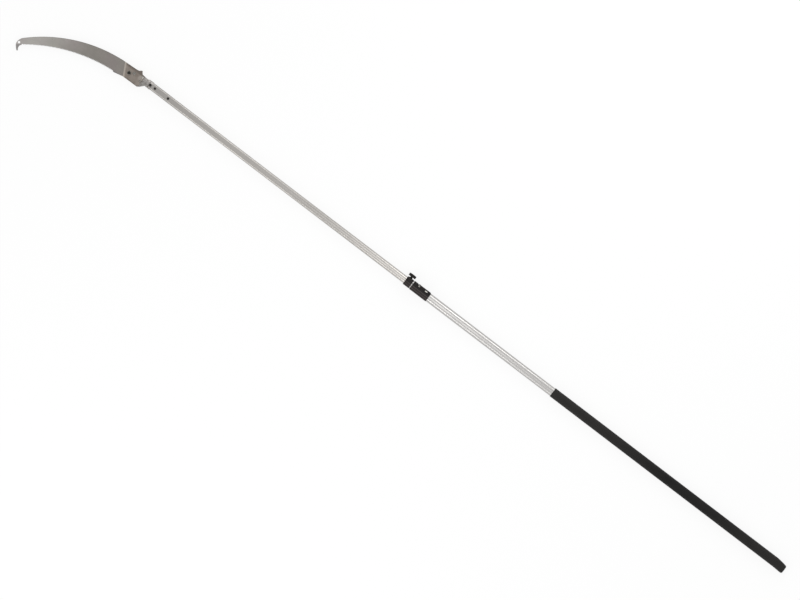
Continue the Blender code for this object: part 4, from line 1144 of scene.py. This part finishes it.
def collar():
    """Lock collar: a waist between two rims, with bosses for its screws and the gland."""
    low, high = span("lock_collar")
    width, height = 2 * high.y, high.z - low.z
    rim = rounded_box(width, height, COLLAR_CORNER)
    waist = rounded_box(COLLAR_WAIST, COLLAR_WAIST, COLLAR_CORNER)
    inset = 0.001
    body = moulding("collar_look", waist, low.x + inset, high.x - inset, 0)
    body = carve(body, "DIFFERENCE", *beside_ribs(low.x, high.x, COLLAR_WAIST / 2))
    body = carve(
        body, "UNION",
        moulding("lower_rim", rim, low.x, low.x + COLLAR_RIM),
        moulding("upper_rim", rim, high.x - COLLAR_LIP, high.x),
        put(boss(SCREW_BOSS, height / 2 - BOSS_SINK), level("collar_screw_near")),
        put(boss(GLAND_BOSS, GLAND_SEAT - GAP, one_sided=True), PIN, INTO_EDGE),
    )
    room = span("inner_tube")[1] * 2 + Vector((0, 3 * GAP, 3 * GAP))
    inside = moulding("inside", TUBE_ROOM, low.x - width, high.x - COLLAR_LIP, 0)
    lip = moulding("lip", oval(room.y, room.z), low.x - width, high.x + width, 0)
    tools = [inside, lip, gland_hole(), *screw_seats("collar")]
    finish(carve(body, "DIFFERENCE", *tools), "lock_collar")


def gland():
    """Flanged bush of the lock pin, with a turned groove round its chimney."""
    outer, inner, flange = GLAND_DIAMETER / 2, GLAND_BORE / 2, GLAND_FLANGE / 2
    low, high = span("pin_gland")
    top, foot = -low.y, -high.y
    profile = [
        (outer - 0.0006, top), (outer - 0.0001, top - 0.0005), (outer, top - 0.0010),
        (outer, top - 0.0030), (outer - 0.0004, top - 0.0034), (outer - 0.0004, top - 0.0040),
        (outer, top - 0.0044), (outer, GLAND_FLANGE_TOP), (flange - 0.0005, GLAND_FLANGE_TOP),
        (flange, GLAND_FLANGE_TOP - 0.0004), (flange, GLAND_SEAT), (outer, GLAND_SEAT),
        (outer, foot), (inner, foot), (inner, top - GLAND_CAP), (STEM_HOLE / 2, top - GLAND_CAP),
        (STEM_HOLE / 2, top),
    ]
    profile.append(profile[0])
    finish(put(turned("gland_look", profile), PIN, INTO_EDGE), "pin_gland")


def spring():
    """Coil with closed ends between the pin's shoulder and the gland's cap.
    """
    low, high = span("pin_spring")
    inner, outer = -high.y, -low.y
    radius = (high.x - low.x - SPRING_WIRE) / 2
    closed = 1.05 * SPRING_WIRE
    open_pitch = (outer - inner - SPRING_WIRE - 2 * closed) / (SPRING_TURNS - 2)
    points = []
    height = inner + SPRING_WIRE / 2
    for step in range(SPRING_TURNS * COIL_STEPS + 1):
        turn = step / COIL_STEPS
        angle = 2 * math.pi * turn
        points.append((radius * math.cos(angle), radius * math.sin(angle), height))
        pitch = open_pitch if 1 <= turn < SPRING_TURNS - 1 else closed
        height += pitch / COIL_STEPS
    curve = bpy.data.curves.new("coil", "CURVE")
    drawn(curve, "3D", points, False)
    curve.bevel_depth = SPRING_WIRE / 2
    curve.bevel_resolution = 3
    curve.use_fill_caps = True
    coil = put(settled(new_piece("pin_spring_look", curve)), PIN, INTO_EDGE)
    coil = painted(tidy(coil), "pin_spring")
    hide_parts("pin_spring")
    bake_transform(coil)


def knob():
    """Knob on the lock pin's stem, hollow inside, with its screw sunk in its outer face."""
    low, high = span("lock_knob")
    foot, top = -high.y, -low.y
    piece = grow(
        "lock_knob", LOBED_KNOB, [(PIN.x, -foot, 0)], width=high.x - low.x, height=top - foot,
        lobe_depth=KNOB_LOBE_DEPTH, crown=KNOB_CROWN, turn=INTO_EDGE,
    )
    out = 0.010
    cavity = bore(KNOB_CAVITY, PIN, foot - out, KNOB_CAVITY_TOP, INTO_EDGE)
    hole = bore(KNOB_SCREW_HOLE, PIN, foot, top + out, INTO_EDGE)
    low, high = span("knob_screw")
    width = high.x - low.x + 2 * GAP
    seat = bore(width, PIN, -low.y - KNOB_SCREW_HEAD - GAP, top + out, INTO_EDGE)
    finish(carve(tidy(piece), "DIFFERENCE", cavity, hole, seat), "lock_knob")


# Fasteners


def screw(node, height, shank, turn=UPRIGHT):
    """Socket screw at a node's place: its head is up, turned over or on the knob's side."""
    low, high = span(node)
    place, axis = (low + high) / 2, 1 if turn == INTO_EDGE else 2
    length = high[axis] - low[axis] - height
    place[axis] = low[axis] + (length if turn == UPRIGHT else height)
    width = high.x - low.x
    piece = grow(
        node, SOCKET_SCREWS, [place], width=width, height=height, shank=shank,
        crown=height * CROWN_SHARE, socket=width * SOCKET_SHARE * CORNERS_TO_FLATS,
        length=length, turn=turn,
    )
    finish(piece, node)


def nut(node, shank, crown=0.0006):
    """Hexagon nut on the far side, drawn upright and turned over."""
    low, high = span(node)
    place = level(node) + Vector((0, 0, high.z))
    piece = grow(
        node, HEX_NUTS, [place], width=high.x - low.x, height=high.z - low.z,
        shank=shank + 2 * GAP, length=0.001, crown=crown, turn=OVER,
    )
    finish(piece, node)


def washer(node):
    low, high = span(node)
    outer, inner, edge = (high.x - low.x) / 2, BOLT_HOLE / 2, 0.0002
    profile = [
        (inner, low.z), (outer - edge, low.z), (outer, low.z + edge), (outer, high.z - edge),
        (outer - edge, high.z), (inner, high.z),
    ]
    turned_piece(node, [*profile, profile[0]])


def rivet(node, height, shank):
    """Domed rivet through the whole stack, with a small dimple in the middle of each head."""
    low, high = span(node)
    head, top, foot = (high.x - low.x) / 2, high.z, high.z - height
    upper = [(0, top - 0.0003), (head * 0.12, top - 0.00025), (head * 0.18, top)]
    for step in range(1, 7):
        angle = math.pi / 2 * step / 6
        upper.append((head * (0.18 + 0.82 * math.sin(angle)), foot + height * math.cos(angle)))
    upper.append((shank / 2, foot))
    turned_piece(node, upper + [(radius, -rise) for radius, rise in reversed(upper)])


# Upper pole and saw head


def upper_tube():
    """Upper pole with a row of holes for the lock pin and those of the head's fasteners."""
    tube = oval_piece("inner_tube", UPPER_WALL, TUBE_EDGE)
    travel = -frame["joints"][0]["range_m"][0]
    tools = []
    for number in range(LOCK_HOLES):
        place = PIN + Vector((travel * number / (LOCK_HOLES - 1), 0, 0))
        tools.append(bore(GLAND_BORE, place, INSIDE, OUTSIDE, INTO_EDGE))
    for node in ("tang_bolt_front", "tang_bolt_rear", "tang_rivet"):
        tools.append(through_hole(node))
    finish(carve(tube, "DIFFERENCE", *tools), "inner_tube")


def ferrule():
    """Ring round the upper pole's end, with its rolled groove."""
    ring = oval_piece("tube_ferrule", FERRULE_WALL, FERRULE_EDGE)
    size = oval_size("tube_ferrule")
    proud = 0.002
    groove = grow(
        "tube_ferrule", OVAL_TUBE, start=GROOVE_START, end=GROOVE_END, edge=FERRULE_EDGE,
        width=size["width"] + 2 * proud, height=size["height"] + 2 * proud,
        wall=proud + GROOVE_DEPTH,
    )
    hole = through_hole("tang_bolt_front")
    finish(carve(ring, "DIFFERENCE", groove, hole), "tube_ferrule")


def tooth_angles():
    """Angles of the toothed arc's two ends, the hook's first, from straight down."""
    return [math.asin((x - TEETH_CENTRE.x) / TEETH_RADIUS) for x in (TEETH_STOP, TEETH_START)]


def blade_outline():
    """The blade without its teeth: back, nose, hook, root of the teeth and heel."""
    angles = []
    for x in (BLADE_TAIL, NOSE_START):
        angles.append(math.degrees(math.asin((x - BACK_CENTRE.x) / BACK_RADIUS)) - 90)
    back = arc(BACK_CENTRE, BACK_RADIUS, *angles, 120)
    turn = math.radians(angles[1])
    nose_centre = Vector(back[-1]) - NOSE_RADIUS * Vector((math.cos(turn), math.sin(turn)))
    nose = arc(nose_centre, NOSE_RADIUS, angles[1], NOSE_END, 24)
    bend = [(3.69263, 0.18875), (3.6918, 0.19469), (3.6827, 0.2041), (3.6755, 0.2110)]
    claw = [point.to_tuple() for point in interpolate_bezier(*map(Vector, bend), 14)]
    point = [(3.6755, 0.2110), (3.6728, 0.2121), (3.6706, 0.2110), (3.6696, 0.2082)]
    throat = [
        (3.6696, 0.2082), (3.6733, 0.2032), (3.6755, 0.1965), (3.6752, 0.1900), (3.6718, 0.1838),
        (3.6692, 0.1768),
    ]
    hook = claw[1:] + smooth_between(point, 3)[1:] + smooth_between(throat, 6)[1:]
    ends = [math.degrees(angle) - 90 for angle in tooth_angles()]
    roots = arc(TEETH_CENTRE, TEETH_RADIUS + TOOTH_DEPTH / 2, *ends, 60)
    heel = [
        (3.3195, 0.0455), (3.3175, 0.0467), (3.3150, 0.0472), (3.3125, 0.0470),
        (3.3100, 0.0464), (3.2700, 0.0372), (3.2400, 0.0330), (3.2285, 0.0310),
        (BLADE_TAIL, 0.0280),
    ]
    return back + nose[1:] + hook + roots + heel


def blade():
    """Blade with its holes, and as many whole teeth as fit its arc."""
    rings = [blade_outline(), circle(TIP_HOLE, TIP_HOLE_DIAMETER)]
    for node, width in (("blade_bolt", BOLT_HOLE), ("blade_screw", SCREW_HOLE)):
        rings.append(circle(level(node), width))
    half = BLADE_THICKNESS / 2
    body = plate("blade_look", rings, -half, half, BLADE_EDGE)
    first, last = tooth_angles()
    count = round((first - last) * TEETH_RADIUS / TOOTH_PITCH)
    step = (first - last) / count
    teeth = grow(
        "saw_blade", SAW_TEETH, count=count, first=first, step=step,
        radius=TEETH_RADIUS + TOOTH_DEPTH / 2, pitch=step * TEETH_RADIUS, depth=TOOTH_DEPTH,
        root=TOOTH_ROOT, lean=TOOTH_LEAN, grind=TOOTH_GRIND, bend=TOOTH_SET,
        thickness=BLADE_THICKNESS - 0.00004, centre=(*TEETH_CENTRE, 0.0),
    )
    finish(carve(body, "UNION", teeth, crossing=True), "saw_blade", sharp=25)


def blade_bolt():
    """Main bolt of the blade, its head on the near washer."""
    low, high = span("blade_bolt")
    seat = span("blade_washer_near")[1].z + GAP
    piece = grow(
        "blade_bolt", HEX_BOLTS, [level("blade_bolt") + Vector((0, 0, seat))],
        width=high.x - low.x, height=high.z - seat, crown=0.0010, shank=BOLT_SHANK,
        length=seat - low.z,
    )
    finish(piece, "blade_bolt")


handle_tube()
grip()
butt()
clamp_block()
lever()
stub_pins()
collar()
gland()
spring()
knob()
for screw_node, (screw_turn, screw_head) in SMALL_SCREWS.items():
    screw(screw_node, screw_head, SMALL_SHANK, screw_turn)
screw("knob_screw", KNOB_SCREW_HEAD, 0.0024, INTO_EDGE)

upper_tube()
ferrule()
blade()
blade_bolt()
nut("blade_nut", BOLT_SHANK, 0.0010)
washer("blade_washer_near")
washer("blade_washer_far")
screw("blade_screw", 0.0030, SCREW_SHANK)
nut("blade_screw_nut", SCREW_SHANK)
for bolt_end in ("front", "rear"):
    screw(f"tang_bolt_{bolt_end}", 0.0030, SCREW_SHANK)
    nut(f"tang_nut_{bolt_end}", SCREW_SHANK)
rivet("tang_rivet", 0.0015, 0.0048)
rivet("neck_rivet_back", 0.0014, 0.0050)
rivet("neck_rivet_front", 0.0014, 0.0050)

# Pieces that are their solids with rounded edges: how wide, and from which angle on
for cad_name, round_edge, edge_angle in (
    ("catch_stud_near", 0.0003, 30), ("catch_stud_far", 0.0003, 30), ("head_core", 0.0005, 30),
    ("holder_plate_near", 0.0007, 40), ("holder_plate_far", 0.0007, 40),
):
    finish(refined(cad_name, round_edge, edge_angle), cad_name)

for cad_name, cad_object in frame["nodes"].items():
    cad_object.data.materials.clear()
    cad_object.data.materials.append(finish_of(cad_name))


# Studio: floor, background, lamps and camera

VIEW_TURN, VIEW_WIDTH, LENS, SENSOR = 217.35, 3.176, 200, 36
VIEW_MIDDLE = Vector((1.8617, 0.0767, 0))
FILL, FLOOR_GLOW, FLOOR_REACH = 0.82, 0.86, 60
STRIP_DISTANCE = 3.0


def rays():
    """Masks of what shows in reflections or through things, and of what the camera sees."""
    kinds = ("Is Glossy Ray", "Is Transmission Ray", "Is Camera Ray")
    glossy, through, by_camera = [add("ShaderNodeLightPath", out=kind) for kind in kinds]
    return calc("MAXIMUM", glossy, through), by_camera


def background():
    world = bpy.data.worlds.new("studio")
    bpy.context.scene.world = world
    world.use_nodes = True
    Wiring.tree = world.node_tree
    seen, by_camera = rays()
    shader = Wiring.tree.nodes["Background"]
    feed(shader.inputs["Color"], (1, 1, 1))
    feed(shader.inputs["Strength"], between(calc("MAXIMUM", seen, by_camera), FILL, 1.0))


def floor():
    """White floor that keeps a faint shadow of the saw, and shows plain white in reflections."""
    mesh = bpy.data.meshes.new("floor")
    corners = [Vector((*way, 0)) * FLOOR_REACH for way in ((-1, -1), (1, -1), (1, 1), (-1, 1))]
    mesh.from_pydata(corners, [], [(0, 1, 2, 3)])
    piece = new_piece("floor", mesh)
    material = bpy.data.materials.new("floor_white")
    material.use_nodes = True
    tree = Wiring.tree = material.node_tree
    tree.nodes.remove(tree.nodes["Principled BSDF"])
    matt = add("ShaderNodeBsdfDiffuse", Color=(1, 1, 1))
    glow = add("ShaderNodeEmission", Strength=1.0)
    seen, by_camera = rays()
    share = calc("MAXIMUM", seen, by_camera * FLOOR_GLOW)
    mixed = add("ShaderNodeMixShader", share, matt, glow)
    feed(tree.nodes["Material Output"].inputs["Surface"], mixed)
    mesh.materials.append(material)


def strip_lamp(name, lean, start, end, width, power):
    """Long soft lamp beside the pole, leaning from straight overhead to the toothed side."""
    lamp = bpy.data.lights.new(name, "AREA")
    lamp.shape = "RECTANGLE"
    lamp.size = end - start
    lamp.size_y = width
    lamp.energy = power
    piece = new_piece(name, lamp)
    angle = math.radians(lean)
    offset = STRIP_DISTANCE * Vector((0, math.sin(angle), math.cos(angle)))
    piece.location = POLE + Vector(((start + end) / 2, 0, 0)) + offset
    piece.rotation_euler = (-angle, 0, 0)
    piece.visible_camera = False


def camera():
    """Long lens straight above the saw, rolled so that the blade is at the upper left."""
    lens = bpy.data.cameras.new("camera")
    lens.lens = LENS
    lens.sensor_width = SENSOR
    height = VIEW_WIDTH / 2 / (SENSOR / 2 / LENS)
    lens.clip_end = 4 * height
    piece = new_piece("camera", lens)
    piece.location = POLE + VIEW_MIDDLE + Vector((0, 0, height))
    piece.rotation_euler = (0, 0, math.radians(VIEW_TURN))
    bpy.context.scene.camera = piece


background()
floor()
strip_lamp("overhead", 0, 1.35, 2.20, 1.6, 5.6)
strip_lamp("knob_side", -57, 1.35, 1.98, 0.8, 8.2)
strip_lamp("tooth_side", 55, 1.38, 2.12, 0.8, 6.0)
strip_lamp("knob_side_butt", -68, 0.70, 1.30, 0.8, 3.0)
strip_lamp("tooth_side_butt", 72, 0.70, 1.30, 0.8, 2.2)
strip_lamp("knob_side_head", -80, 2.60, 3.50, 0.8, 5.2)
strip_lamp("tooth_side_head", 80, 2.45, 3.50, 0.8, 5.9)
camera()
bpy.context.scene.view_settings.view_transform = "Standard"
